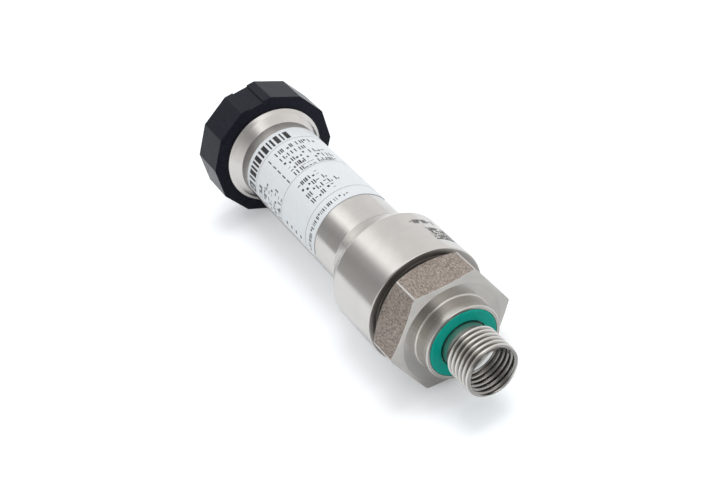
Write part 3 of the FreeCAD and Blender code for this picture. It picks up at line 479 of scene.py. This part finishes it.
# %% Turn and thread the sleeve
sleeve = turned("sleeve", [
    (113.03, 4.6), (113.03, 6.0), (122.83, 6.0), (123.33, 5.5), (123.33, 4.3), (113.03, 4.3)], steps=192)
fine_rod = thread_rod(pitch=1.0, crest=6.0, depth=0.61, flank=30.0, rounding=0.1, start=112.0,
                      end=124.5, crest_at=118.0)
cut_with(sleeve, fine_rod, "INTERSECT")
bpy.ops.object.shade_smooth_by_angle(angle=THREAD_EDGE)
root = turned("sleeve_root", [
    (104.53, 5.0), (104.53, 7.0), (111.53, 7.0), (111.53, 6.3), (113.03, 6.3), (113.03, 5.2), (113.6, 5.2),
    (113.6, 4.35), (112.03, 4.35), (112.03, 5.0)])
break_edges(root, 0.05)
for part in (sleeve, root):
    finish_with(part, "nickel_plating")
sleeve.select_set(True)
bpy.context.view_layer.objects.active = sleeve
bpy.ops.object.join()
lay_down(sleeve, "nickel_plating", "plug_sleeve")

# %% [markdown]
# ## Print and marks
#
# A real transmitter is covered in words and numbers. This one belongs to nobody, so the print keeps the
# rhythm of the real rows, with plain strokes that say nothing: a heavy row, columns of small rows
# between three thin ring lines, and a last bold row. Each mark is a small rectangle of one flat grid.
# The grid is as fine as the thinnest stroke. Its bare cells are deleted, and what is left is rolled
# round the tube just over the label's foil.

# %% Roll a printed sheet
def printed(name, marks, front, back, from_turn, to_turn, radius, cell=0.15):
    """The cells of a flat sheet that marks cover, rolled to a radius in mm.

    A mark is (first station, last station, first turn, last turn), with turns in degrees.
    """
    width = math.radians(to_turn - from_turn) * radius
    rows, columns = round((back - front) / cell), round(width / cell)
    bpy.ops.object.select_all(action="DESELECT")
    bpy.ops.mesh.primitive_grid_add(x_subdivisions=rows, y_subdivisions=columns, size=MM)
    sheet = bpy.context.object
    sheet.name = sheet.data.name = name
    covered = set()
    for first, last, turn_a, turn_b in marks:
        low, high = sorted((turn_a, turn_b))
        first_row, last_row = round((first - front) / cell), round((last - front) / cell)
        first_column = round(math.radians(low - from_turn) * radius / cell)
        last_column = round(math.radians(high - from_turn) * radius / cell)
        for row in range(first_row, max(last_row, first_row + 1)):
            for column in range(first_column, max(last_column, first_column + 1)):
                covered.add((row, column))
    bpy.ops.object.mode_set(mode="EDIT")
    bpy.ops.mesh.select_mode(type="FACE")
    bpy.ops.mesh.select_all(action="DESELECT")
    bpy.ops.object.mode_set(mode="OBJECT")
    for face in sheet.data.polygons:
        row = int((face.center.x / MM + 0.5) * rows)
        column = int((face.center.y / MM + 0.5) * columns)
        face.select = (row, column) not in covered
    bpy.ops.object.mode_set(mode="EDIT")
    bpy.ops.mesh.delete(type="FACE")
    bpy.ops.mesh.select_mode(type="VERT")
    bpy.ops.object.mode_set(mode="OBJECT")
    for vertex in sheet.data.vertices:
        station = front + (vertex.co.x / MM + 0.5) * (back - front)
        angle = math.radians(from_turn + (vertex.co.y / MM + 0.5) * (to_turn - from_turn))
        vertex.co = Vector((-station, radius * math.cos(angle), radius * math.sin(angle))) * MM
    sheet.data.flip_normals()
    print(name, "covers", len(covered), "cells")
    return sheet


# %% Draw one row of strokes
chance = random.Random(7)
# Bars and dashes, as (low, high) shares of the row's height and (start, end) shares of a letter's width.
STROKES = [
    [(0, 1, 0.0, 0.28)],
    [(0, 1, 0.0, 0.28), (0, 1, 0.5, 0.78)],
    [(0, 0.45, 0.1, 0.6)],
    [(0.55, 1, 0.1, 0.6)],
    [(0.4, 0.6, 0.0, 0.75)],
    [(0, 0.14, 0.0, 0.75), (0.86, 1, 0.0, 0.75)],
    [(0, 1, 0.2, 0.48)],
    [(0, 1, 0.0, 0.28), (0, 0.4, 0.55, 0.83)]]


def word_row(front, height, left, right, letter, gap=0.35):
    """Strokes in groups, read from the higher turn to the lower one, like words that say nothing."""
    marks, turn = [], left
    while turn - letter > right:
        for _ in range(chance.randint(3, 7)):
            if turn - letter < right:
                break
            for low, high, start, end in chance.choice(STROKES):
                marks.append((front + low * height, front + high * height,
                              turn - start * letter, turn - end * letter))
            turn -= letter
        turn -= gap * letter * 2
    return marks


# %% Set the rows and print them
FOIL = 11.165
TURN = -63.7
RULES = (63.7, 76.4, 90.0)
RULE_WIDTH = 0.15
ROW, LETTER = 1.6, 5.6
BLOCK, BLOCK_BACK = 90.9, 94.2
THIN, WIDE = 2.9, 6.2
# Turns are counted on the sheet, and TURN brings them to the label's place on the tube.
heavy = word_row(front=60.7, height=1.3, left=237 + TURN, right=137 + TURN, letter=4.2, gap=0.12)
rows = []
for middle in (66.2, 68.6, 71.0, 73.5):
    front = middle - ROW / 2
    rows += word_row(front, ROW, 182 + TURN, chance.choice((133, 140, 152)) + TURN, LETTER)
    rows.append((middle - 0.4, middle + 0.2, 235 + TURN, 231 + TURN))
for middle in (77.8, 80.2, 82.7, 85.2, 87.8):
    front = middle - ROW / 2
    rows += word_row(front, ROW, 174 + TURN, chance.choice((105, 112, 126)) + TURN, LETTER)
    rows += word_row(front, ROW, 240 + TURN, chance.choice((200, 206, 214)) + TURN, LETTER)
    rows.append((front, middle + ROW / 2, 186 + TURN, 184.6 + TURN))
bold = [
    (BLOCK, BLOCK_BACK, 239 + TURN, 236.5 + TURN),
    (BLOCK, BLOCK_BACK, 230.5 + TURN, 228 + TURN),
    (BLOCK, 91.5, 237 + TURN, 230 + TURN),
    (93.5, BLOCK_BACK, 237 + TURN, 230 + TURN),
    (92.1, 92.9, 235 + TURN, 232 + TURN)]
left = 223 + TURN
for width in (THIN, WIDE, THIN, THIN, WIDE, THIN, WIDE, THIN, THIN, WIDE, THIN, WIDE):
    bold.append((BLOCK, BLOCK_BACK, left, left - width))
    left -= width + THIN
print_rows = printed("printed_rows", heavy + rows + bold, front=60.0, back=95.2, from_turn=40.0,
                     to_turn=178.0, radius=FOIL)
finish_with(print_rows, "print_ink")
lay_down(print_rows, "label_foil")
rules = [(station, station + RULE_WIDTH, 23.0, 178.0) for station in RULES]
rule_lines = printed("ring_lines", rules, front=63.5, back=90.5, from_turn=22.0, to_turn=179.0,
                     radius=FOIL)
finish_with(rule_lines, "ring_ink")
lay_down(rule_lines, "label_foil")

# %% [markdown]
# A laser has marked the wide end of the housing with a square code and one row of small strokes. A
# laser leaves the steel dark and matt, in place. The mark is a thin skin, 0.02 mm over the steel, and
# its cells come from a seeded draw, so they hold no message.

# %% Mark the housing
CODE_FRONT, CODE_TURN = 31, 34
CODE_CELL, CODE_STEP = 0.4, 1.53
CODE_ROWS, CODE_COLUMNS = 13, 14
MARKED_RADIUS = 15.02
code = [
    (CODE_FRONT + CODE_CELL * row, CODE_FRONT + CODE_CELL * (row + 1),
     CODE_TURN + CODE_STEP * column, CODE_TURN + CODE_STEP * (column + 1))
    for row in range(CODE_ROWS) for column in range(CODE_COLUMNS) if chance.random() < 0.5]
code += [(CODE_FRONT, 36.2, CODE_TURN, 35.5), (CODE_FRONT, CODE_FRONT + CODE_CELL, CODE_TURN, 55.4)]
strokes = word_row(front=38.2, height=ROW, left=65, right=35, letter=3.2)
mark = printed("laser_mark", code + strokes, front=30.8, back=40.2, from_turn=33.0, to_turn=66.0,
               radius=MARKED_RADIUS)
finish_with(mark, "laser_mark")
lay_down(mark, "housing_steel")

# %% [markdown]
# ## Shared patterns
#
# Every finish follows how its part was made. Four patterns are used by many of them, so each is a node
# group: where a point is on the level axis, the marks that a lathe leaves, the marks of handling, and
# the grain of a moulding. They put out only values and vectors.

# %% Helpers for node groups and finishes
def new_group(name, inputs, outputs):
    """An empty node group, as its tree, the sockets that come in and the sockets that go out."""
    tree = bpy.data.node_groups.new(name, "ShaderNodeTree")
    for label, number in inputs.items():
        socket = tree.interface.new_socket(label, in_out="INPUT", socket_type="NodeSocketFloat")
        socket.default_value = number
    for label, kind in outputs.items():
        tree.interface.new_socket(label, in_out="OUTPUT", socket_type="NodeSocket" + kind)
    print("pattern:", name, "gives", list(outputs))
    return tree, tree.nodes.new("NodeGroupInput").outputs, tree.nodes.new("NodeGroupOutput").inputs


def put_out(tree, inputs, **found):
    """Links what was found to a group's outputs or a shader's inputs, with _ for a space in names."""
    for name, socket in found.items():
        tree.links.new(socket, inputs[name.replace("_", " ")])


def use(tree, name, **inputs):
    """The outputs of one node group."""
    return add(tree, "Group", inputs, node_tree=bpy.data.node_groups[name]).outputs


def maths(tree, operation, first, second=0.0):
    """One sum."""
    return add(tree, "Math", {0: first, 1: second}, operation=operation).outputs[0]


def raised(tree, value, extra, share):
    """A number with a share of another one on top."""
    return maths(tree, "ADD", value, maths(tree, "MULTIPLY", extra, share))


def noise(tree, place, **inputs):
    """A noise, with cells of one unit if no Scale is given."""
    return add(tree, "TexNoise", {"Vector": place, "Scale": 1.0, **inputs}).outputs[0]


def stretched(tree, place, scale, rotation=(0, 0, 0)):
    """A place that is scaled along each axis, so that a pattern on it is drawn out."""
    return add(tree, "Mapping", {"Vector": place, "Rotation": rotation, "Scale": scale}).outputs[0]


def enlarged(tree, place, size):
    """A place on which one unit is a size in mm."""
    share = maths(tree, "DIVIDE", 1.0, size)
    return add(tree, "VectorMath", {0: place, "Scale": share}, operation="SCALE").outputs[0]


def bricks(tree, place, first, second, mortar, gap, width, height):
    """Rows of cells in two colours, with gaps in a third one. Gap, width and height are in mm."""
    return add(tree, "TexBrick", {
        "Vector": place, "Color1": (*first, 1), "Color2": (*second, 1), "Mortar": (*mortar, 1),
        "Scale": 1.0, "Mortar Size": gap, "Brick Width": width, "Row Height": height}).outputs["Color"]


def blended(tree, factor, first, second):
    """A number between two others."""
    return add(tree, "Mix", {0: factor, 2: first, 3: second}, data_type="FLOAT").outputs[0]


def surface(name, **constants):
    """Empties a material, and returns its tree and the inputs of its new shader."""
    material = bpy.data.materials.get(name) or bpy.data.materials.new(name)
    material.use_nodes = True
    tree = material.node_tree
    tree.nodes.clear()
    plain = {label.replace("_", " "): value for label, value in constants.items()}
    shader = add(tree, "BsdfPrincipled", plain)
    add(tree, "OutputMaterial", {"Surface": shader.outputs[0]})
    print("finish:", name)
    return tree, shader.inputs


def shade(colour, factor):
    """A colour, made darker or lighter."""
    return tuple(min(1.0, channel * factor) for channel in colour)


def relief(tree, shader, height, depth, strength=1.0):
    """A bump of some depth in mm."""
    bump = add(tree, "Bump", {"Height": height, "Distance": depth * MM, "Strength": strength})
    tree.links.new(bump.outputs["Normal"], shader["Normal"])


# %% Where a point is on the level axis
tree, _, out = new_group("level_space", {}, {
    "Level": "Vector", "Station": "Float", "Radius": "Float", "Round": "Vector", "Face": "Float"})
place = add(tree, "TexCoord").outputs["Object"]
level = add(tree, "Mapping", {
    "Vector": place, "Location": TIP, "Rotation": (0, TILT, 0), "Scale": (MM, MM, MM)},
    vector_type="TEXTURE").outputs[0]
x, y, z = add(tree, "SeparateXYZ", {0: level}).outputs
across = add(tree, "CombineXYZ", {1: y, 2: z}).outputs[0]
radius = add(tree, "VectorMath", {0: across}, operation="LENGTH").outputs["Value"]
unit = add(tree, "VectorMath", {0: across}, operation="NORMALIZE").outputs[0]
facing = add(tree, "NewGeometry").outputs["Normal"]
along = add(tree, "VectorMath", {0: facing, 1: AXIS}, operation="DOT_PRODUCT").outputs["Value"]
put_out(tree, out, Level=level, Station=maths(tree, "MULTIPLY", x, -1.0), Radius=radius, Round=unit,
        Face=maths(tree, "ABSOLUTE", along))

# %% [markdown]
# A lathe tool leaves rings. They follow the station on a cylinder and the radius on a face, and a cone
# has some of both, so a noise is read at a point that holds both numbers. It gets only a little of the
# direction round the axis, which breaks the rings up slowly.

# %% The marks of a lathe tool
tree, given, out = new_group("tool_marks", {"Pitch": 0.3}, {"Height": "Float", "Tone": "Float"})
spot = use(tree, "level_space")
step = maths(tree, "DIVIDE", spot["Station"], given["Pitch"])
_, y, z = add(tree, "SeparateXYZ", {0: spot["Round"]}).outputs
WANDER = 0.5
place = add(tree, "CombineXYZ", {
    0: step, 1: maths(tree, "MULTIPLY", y, WANDER), 2: maths(tree, "MULTIPLY", z, WANDER)})
rings = add(tree, "TexNoise", {
    "Vector": place.outputs[0], "W": maths(tree, "DIVIDE", spot["Radius"], given["Pitch"]), "Scale": 1.0,
    "Detail": 2.0, "Roughness": 0.6}, noise_dimensions="4D").outputs[0]
put_out(tree, out, Height=rings, Tone=span(tree, rings, 0.3, 0.7))

# %% The marks of handling
tree, given, out = new_group("handling", {"Size": 6.0}, {
    "Smudge": "Float", "Fleck": "Float", "Scratch": "Float"})
level = use(tree, "level_space")["Level"]
cloud = noise(tree, enlarged(tree, level, given["Size"]), Detail=5.0, Distortion=0.6)
fleck = add(tree, "TexVoronoi", {"Vector": level, "Scale": 1.1}).outputs["Distance"]
hair = noise(tree, stretched(tree, level, (0.15, 4.0, 4.0), (0.4, 0.9, 0.3)), Detail=2.0)
put_out(tree, out, Smudge=span(tree, cloud, 0.35, 0.65), Fleck=span(tree, fleck, 0.12, 0.05),
        Scratch=span(tree, hair, 0.66, 0.72))

# %% The grain of a moulding
tree, given, out = new_group("grain", {"Size": 0.2}, {"Height": "Float", "Tone": "Float"})
level = use(tree, "level_space")["Level"]
place = enlarged(tree, level, given["Size"])
fine = noise(tree, place, Detail=3.0, Roughness=0.6)
wide = noise(tree, place, Scale=0.08, Detail=2.0)
put_out(tree, out, Height=fine, Tone=span(tree, maths(tree, "ADD", fine, wide), 0.75, 1.25))

# %% [markdown]
# ## Metals
#
# All turned metals share one function. The tool rings move the tone a little and lift the surface by no
# more than two thousandths of a millimetre. Smudges, flecks and scratches change the roughness. Faces
# square to the axis are darkened with painted shade, and the tip's face gets the most of that painted
# shade.
# The thread's crests get a painted highlight and its flanks painted shade, painted shade darkens the
# groove in front of the housing, and a short list makes some stretches of the axis duller than others.

# %% Turned metals
# Each end of the thread and of the groove is a pair of stations, over which its painted light and shade
# fade.
THREAD_FROM, THREAD_TO = (0.4, 0.9), (9.2, 9.4)
GROOVE_FROM, GROOVE_TO = (25.8, 26.0), (27.1, 27.18)
# A radius on the thread, and how many times as bright the steel is painted there: painted shade on the
# flanks and a painted highlight on the crests.
SHADED_FLANK, LIT_CREST = (6.22, 0.56), (6.48, 1.2)
# How far painted shade darkens the tip's face.
TIP_FACE_SHADE = 0.85
# The colour of the painted shade in the groove in front of the housing, up to its front face.
GROOVE_SHADE_COLOUR = (0.06, 0.045, 0.035)
# What is added to the roughness from each station on: tip, thread, relief groove, collar, groove before
# the housing, housing, bare strip behind the label, flare.
DULLNESS = [(0.0, 0.03), (0.9, -0.05), (9.3, 0.15), (12.0, 0.0), (26.8, 0.25), (27.17, 0.0),
            (95.3, 0.24), (98.8, 0.03)]


def between(tree, value, start, end):
    """1 between two stations and 0 elsewhere, faded at both ends."""
    return maths(tree, "MULTIPLY", span(tree, value, *start), span(tree, value, *reversed(end)))


def stepped(tree, value, steps):
    """A number that changes at each (start, number) step."""
    total = steps[0][1]
    for (_, before), (start, number) in zip(steps, steps[1:]):
        change = span(tree, value, start - 0.02, start + 0.02, 0.0, number - before)
        total = maths(tree, "ADD", total, change)
    return total


# The face argument sets the painted shade on faces square to the axis.
def turned_metal(name, colour, rough, pitch=0.3, depth=0.002, face=0.8, rings=0.05, smudges=0.05):
    """A lathe finish, or a plating over one."""
    tree, shader = surface(name, Metallic=1.0)
    marks = use(tree, "tool_marks", Pitch=pitch)
    touch = use(tree, "handling", Size=7.0)
    base = blend(tree, marks["Tone"], shade(colour, 1 - rings), shade(colour, 1 + rings))
    greasy = blend(tree, 1.0, base, (0.94, 0.945, 0.955), "MULTIPLY")
    base = blend(tree, touch["Smudge"], base, greasy)
    spot = use(tree, "level_space")
    station = spot["Station"]
    # Painted shade: faces square to the axis are darker, and the tip's face darker still.
    square = span(tree, spot["Face"], 0.8, 0.98, 1.0, face)
    square = maths(tree, "MULTIPLY", square, span(tree, station, 0.1, 0.5, TIP_FACE_SHADE, 1.0))
    # Painted highlight on the thread's crests and painted shade on its flanks.
    thread = between(tree, station, THREAD_FROM, THREAD_TO)
    crest = span(tree, spot["Radius"], SHADED_FLANK[0], LIT_CREST[0], SHADED_FLANK[1], LIT_CREST[1])
    square = maths(tree, "MULTIPLY", square, blended(tree, thread, 1.0, crest))
    grey = add(tree, "CombineColor", {0: square, 1: square, 2: square}).outputs[0]
    base = blend(tree, 1.0, base, grey, "MULTIPLY")
    # Painted shade: the groove in front of the housing is darkened towards this colour.
    groove_shade = maths(tree, "MULTIPLY", between(tree, station, GROOVE_FROM, GROOVE_TO), 0.6)
    dull = span(tree, touch["Smudge"], 0.0, 1.0, rough - smudges / 2, rough + smudges)
    dull = raised(tree, dull, touch["Fleck"], 0.06)
    dull = raised(tree, dull, touch["Scratch"], 0.05)
    dull = raised(tree, dull, marks["Tone"], 0.04)
    dull = maths(tree, "ADD", dull, stepped(tree, station, DULLNESS))
    put_out(tree, shader, Base_Color=blend(tree, groove_shade, base, GROOVE_SHADE_COLOUR), Roughness=dull)
    relief(tree, shader, marks["Height"], depth)


turned_metal("stainless_steel", (0.62, 0.595, 0.56), 0.17, depth=0.0012, face=0.74)
turned_metal("housing_steel", (0.66, 0.635, 0.605), 0.15, pitch=0.5, depth=0.0004, rings=0.012,
             smudges=0.03)
turned_metal("header_steel", (0.56, 0.55, 0.53), 0.32, pitch=0.2)
turned_metal("diaphragm_foil", (0.68, 0.67, 0.65), 0.2, pitch=0.6, depth=0.001, face=1.0)
turned_metal("nickel_plating", (0.69, 0.66, 0.6), 0.22, pitch=0.25)
turned_metal("header_pin_plating", (0.74, 0.68, 0.52), 0.25, pitch=0.15)
turned_metal("gold_plating", (0.95, 0.72, 0.32), 0.2, pitch=0.2, face=0.9)
turned_metal("crystal_can", (0.74, 0.74, 0.73), 0.18, pitch=1.2, depth=0.001, rings=0.08)

# %% [markdown]
# The hexagon's flats are drawn bar that was only lightly milled. They are darker and browner than the
# turned steel, and covered in short torn streaks that mostly run along the axis.

# %% Milled flats
tree, shader = surface("milled_steel", Metallic=1.0)
level = use(tree, "level_space")["Level"]
streak = noise(tree, stretched(tree, level, (1.5, 5.2, 5.2)), Detail=3.0, Roughness=0.6)
speck = noise(tree, level, Scale=3.6, Detail=3.0, Roughness=0.7)
torn = span(tree, raised(tree, streak, speck, 0.6), 0.66, 0.94)
put_out(tree, shader, Base_Color=blend(tree, torn, (0.2, 0.17, 0.148), (0.56, 0.485, 0.43)),
        Roughness=span(tree, torn, 0.0, 1.0, 0.6, 0.42))
relief(tree, shader, torn, 0.02, 0.8)

# %% The laser mark
tree, shader = surface("laser_mark", Metallic=0.6)
burnt = use(tree, "grain", Size=0.3)
put_out(tree, shader, Base_Color=blend(tree, burnt["Tone"], (0.1, 0.095, 0.09), (0.2, 0.19, 0.18)),
        Roughness=span(tree, burnt["Height"], 0.3, 0.7, 0.5, 0.7))
relief(tree, shader, burnt["Height"], 0.003)

# %% [markdown]
# ## Mouldings, rubber and anodising
#
# What was moulded or dyed has a fine even grain and a slow change of tone. The seal is a green rubber
# with very little shine. The nut is aluminium with a black dyed skin, which looks slightly blue where it
# catches the light.

# %% Mouldings
def moulding(name, colour, rough, size=0.15, depth=0.004, change=0.12, coat=0.0, shine=0.5):
    """A plastic or rubber with a grained skin, and dust where it was touched."""
    tree, shader = surface(name, Coat_Weight=coat, Specular_IOR_Level=shine)
    skin = use(tree, "grain", Size=size)
    touch = use(tree, "handling", Size=5.0)
    base = blend(tree, skin["Tone"], shade(colour, 1 - change), shade(colour, 1 + change))
    dust = maths(tree, "MULTIPLY", touch["Smudge"], 0.008)
    dull = span(tree, touch["Smudge"], 0.0, 1.0, rough - 0.04, rough + 0.06)
    put_out(tree, shader, Base_Color=blend(tree, dust, base, (0.6, 0.58, 0.54)),
            Roughness=raised(tree, dull, touch["Scratch"], -0.06))
    relief(tree, shader, skin["Height"], depth)


moulding("green_seal", (0.0, 0.33, 0.26), 0.34, size=0.12, depth=0.002, change=0.08, shine=0.1)
moulding("black_rubber", (0.018, 0.018, 0.019), 0.55)
moulding("black_moulding", (0.02, 0.02, 0.021), 0.42)
moulding("pin_insulator", (0.018, 0.018, 0.02), 0.38)
moulding("grey_moulding", (0.3, 0.31, 0.32), 0.5)
moulding("capacitor_moulding", (0.62, 0.38, 0.05), 0.42, size=0.1)
WIRES = {"brown": (0.13, 0.05, 0.02), "white": (0.78, 0.77, 0.74), "blue": (0.02, 0.1, 0.4),
         "black": (0.02, 0.02, 0.02), "grey": (0.3, 0.3, 0.31)}
for wire, colour in WIRES.items():
    moulding("wire_" + wire, colour, 0.4, size=0.3, depth=0.006, change=0.06, coat=0.15)

# %% The dyed nut
tree, shader = surface("black_nut", Specular_IOR_Level=0.13, Specular_Tint=(0.72, 0.8, 1.0, 1.0))
skin = use(tree, "grain", Size=0.1)
touch = use(tree, "handling", Size=4.0)
marks = use(tree, "tool_marks", Pitch=0.2)
base = blend(tree, skin["Tone"], (0.008, 0.0085, 0.0135), (0.012, 0.0125, 0.0185))
specks = maths(tree, "MULTIPLY", touch["Fleck"], 0.04)
put_out(tree, shader, Base_Color=blend(tree, specks, base, (0.2, 0.2, 0.22)),
        Roughness=span(tree, touch["Smudge"], 0.0, 1.0, 0.24, 0.3))
relief(tree, shader, maths(tree, "ADD", skin["Height"], marks["Height"]), 0.0004)

# %% [markdown]
# ## Label
#
# The label is a satin foil, silver-grey under a clear film, so it is pale and even where the bare tube
# mirrors light and dark bands. The print is matt and slightly uneven, and the thin lines are paler.

# %% Foil and inks
tree, shader = surface("label_foil", Coat_Weight=0.25, Coat_Roughness=0.3)
skin = use(tree, "grain", Size=0.08)
touch = use(tree, "handling", Size=9.0)
base = blend(tree, skin["Tone"], (0.62, 0.65, 0.675), (0.66, 0.69, 0.71))
worn = maths(tree, "MULTIPLY", touch["Smudge"], 0.25)
put_out(tree, shader, Base_Color=blend(tree, worn, base, (0.62, 0.64, 0.66)),
        Roughness=span(tree, touch["Smudge"], 0.0, 1.0, 0.4, 0.5))
relief(tree, shader, skin["Height"], 0.001)


def ink(name, thin, thick):
    """A printed ink whose cover is uneven."""
    tree, shader = surface(name)
    cover = use(tree, "grain", Size=0.25)
    colour = blend(tree, cover["Tone"], (thin, thin, thin), (thick, thick, thick * 1.05))
    put_out(tree, shader, Base_Color=colour, Roughness=span(tree, cover["Height"], 0.3, 0.7, 0.45, 0.6))


ink("print_ink", 0.03, 0.015)
ink("ring_ink", 0.32, 0.24)

# %% [markdown]
# ## Electronics
#
# The boards carry copper tracks under a green mask. The tracks are a grid of cells, some of which are
# left out by a slower noise. Chips are dark mouldings with faint printed bars, the silicon shows its
# cells, and the flat strip is an amber film with copper lines in it.

# %% Circuit boards
tree, shader = surface("circuit_board")
level = use(tree, "level_space")["Level"]
grid = bricks(tree, level, (0, 0, 0), (0, 0, 0), (1, 1, 1), gap=0.12, width=2.4, height=0.8)
gate = span(tree, noise(tree, level, Scale=0.35, Detail=1.0), 0.47, 0.5)
track = maths(tree, "MULTIPLY", grid, gate)
base = blend(tree, track, (0.006, 0.085, 0.035), (0.02, 0.17, 0.07))
hole = span(tree, add(tree, "TexVoronoi", {"Vector": level, "Scale": 0.4}).outputs["Distance"], 0.16, 0.13)
skin = use(tree, "grain", Size=0.2)
put_out(tree, shader, Base_Color=blend(tree, hole, base, (0.72, 0.6, 0.32)),
        Metallic=maths(tree, "MULTIPLY", hole, 0.9),
        Roughness=span(tree, skin["Height"], 0.3, 0.7, 0.26, 0.36))
relief(tree, shader, track, 0.03)

# %% Chips
tree, shader = surface("chip_moulding")
level = use(tree, "level_space")["Level"]
skin = use(tree, "grain", Size=0.08)
bars = bricks(tree, level, (1, 1, 1), (0, 0, 0), (0, 0, 0), gap=0.16, width=0.7, height=0.5)
base = blend(tree, skin["Tone"], (0.016, 0.016, 0.018), (0.028, 0.028, 0.03))
faint = maths(tree, "MULTIPLY", bars, 0.12)
put_out(tree, shader, Base_Color=blend(tree, faint, base, (0.5, 0.5, 0.48)),
        Roughness=span(tree, skin["Height"], 0.3, 0.7, 0.48, 0.62))
relief(tree, shader, skin["Height"], 0.006)

# %% Silicon
tree, shader = surface("silicon", Metallic=0.7)
level = use(tree, "level_space")["Level"]
skin = use(tree, "grain", Size=0.2)
cells = bricks(tree, level, (0.1, 0.1, 0.14), (0.17, 0.15, 0.2), (0.3, 0.28, 0.22),
               gap=0.03, width=0.5, height=0.4)
put_out(tree, shader, Base_Color=cells, Roughness=span(tree, skin["Height"], 0.3, 0.7, 0.1, 0.22))

# %% Amber film
tree, shader = surface("amber_film", Coat_Weight=0.3)
level = use(tree, "level_space")["Level"]
bands = add(tree, "TexWave", {"Vector": level, "Scale": 0.35}, wave_type="BANDS", bands_direction="Y")
lines = span(tree, bands.outputs[1], 0.45, 0.55)
skin = use(tree, "grain", Size=0.4)
base = blend(tree, skin["Tone"], (0.36, 0.14, 0.015), (0.45, 0.19, 0.025))
put_out(tree, shader, Base_Color=blend(tree, lines, base, (0.62, 0.33, 0.14)),
        Roughness=span(tree, skin["Height"], 0.3, 0.7, 0.22, 0.34))
relief(tree, shader, lines, 0.01)


# %% Glass
def glass(name, thin, thick, ior):
    """A clear or tinted glass with a few bubbles near its skin."""
    tree, shader = surface(name, Transmission_Weight=1.0, IOR=ior)
    melt = use(tree, "grain", Size=0.5)
    bubble = use(tree, "handling", Size=2.0)["Fleck"]
    put_out(tree, shader, Base_Color=blend(tree, melt["Tone"], thin, thick),
            Roughness=span(tree, bubble, 0.0, 1.0, 0.04, 0.25))
    relief(tree, shader, melt["Height"], 0.004)


glass("bead_glass", (0.2, 0.34, 0.36), (0.3, 0.46, 0.47), 1.52)
glass("pedestal_glass", (0.86, 0.92, 0.9), (0.93, 0.97, 0.96), 1.47)

# %% [markdown]
# ## Finish
#
# Each CAD node that is seen or hidden still has its own finish, because the materials above took the
# names of the record's slots. The last cell checks that none is left plain.

# %% Check the finishes
PLAIN_NODES = 4
for name, node in frame["nodes"].items():
    for slot in node.material_slots:
        assert len(slot.material.node_tree.nodes) > PLAIN_NODES, name
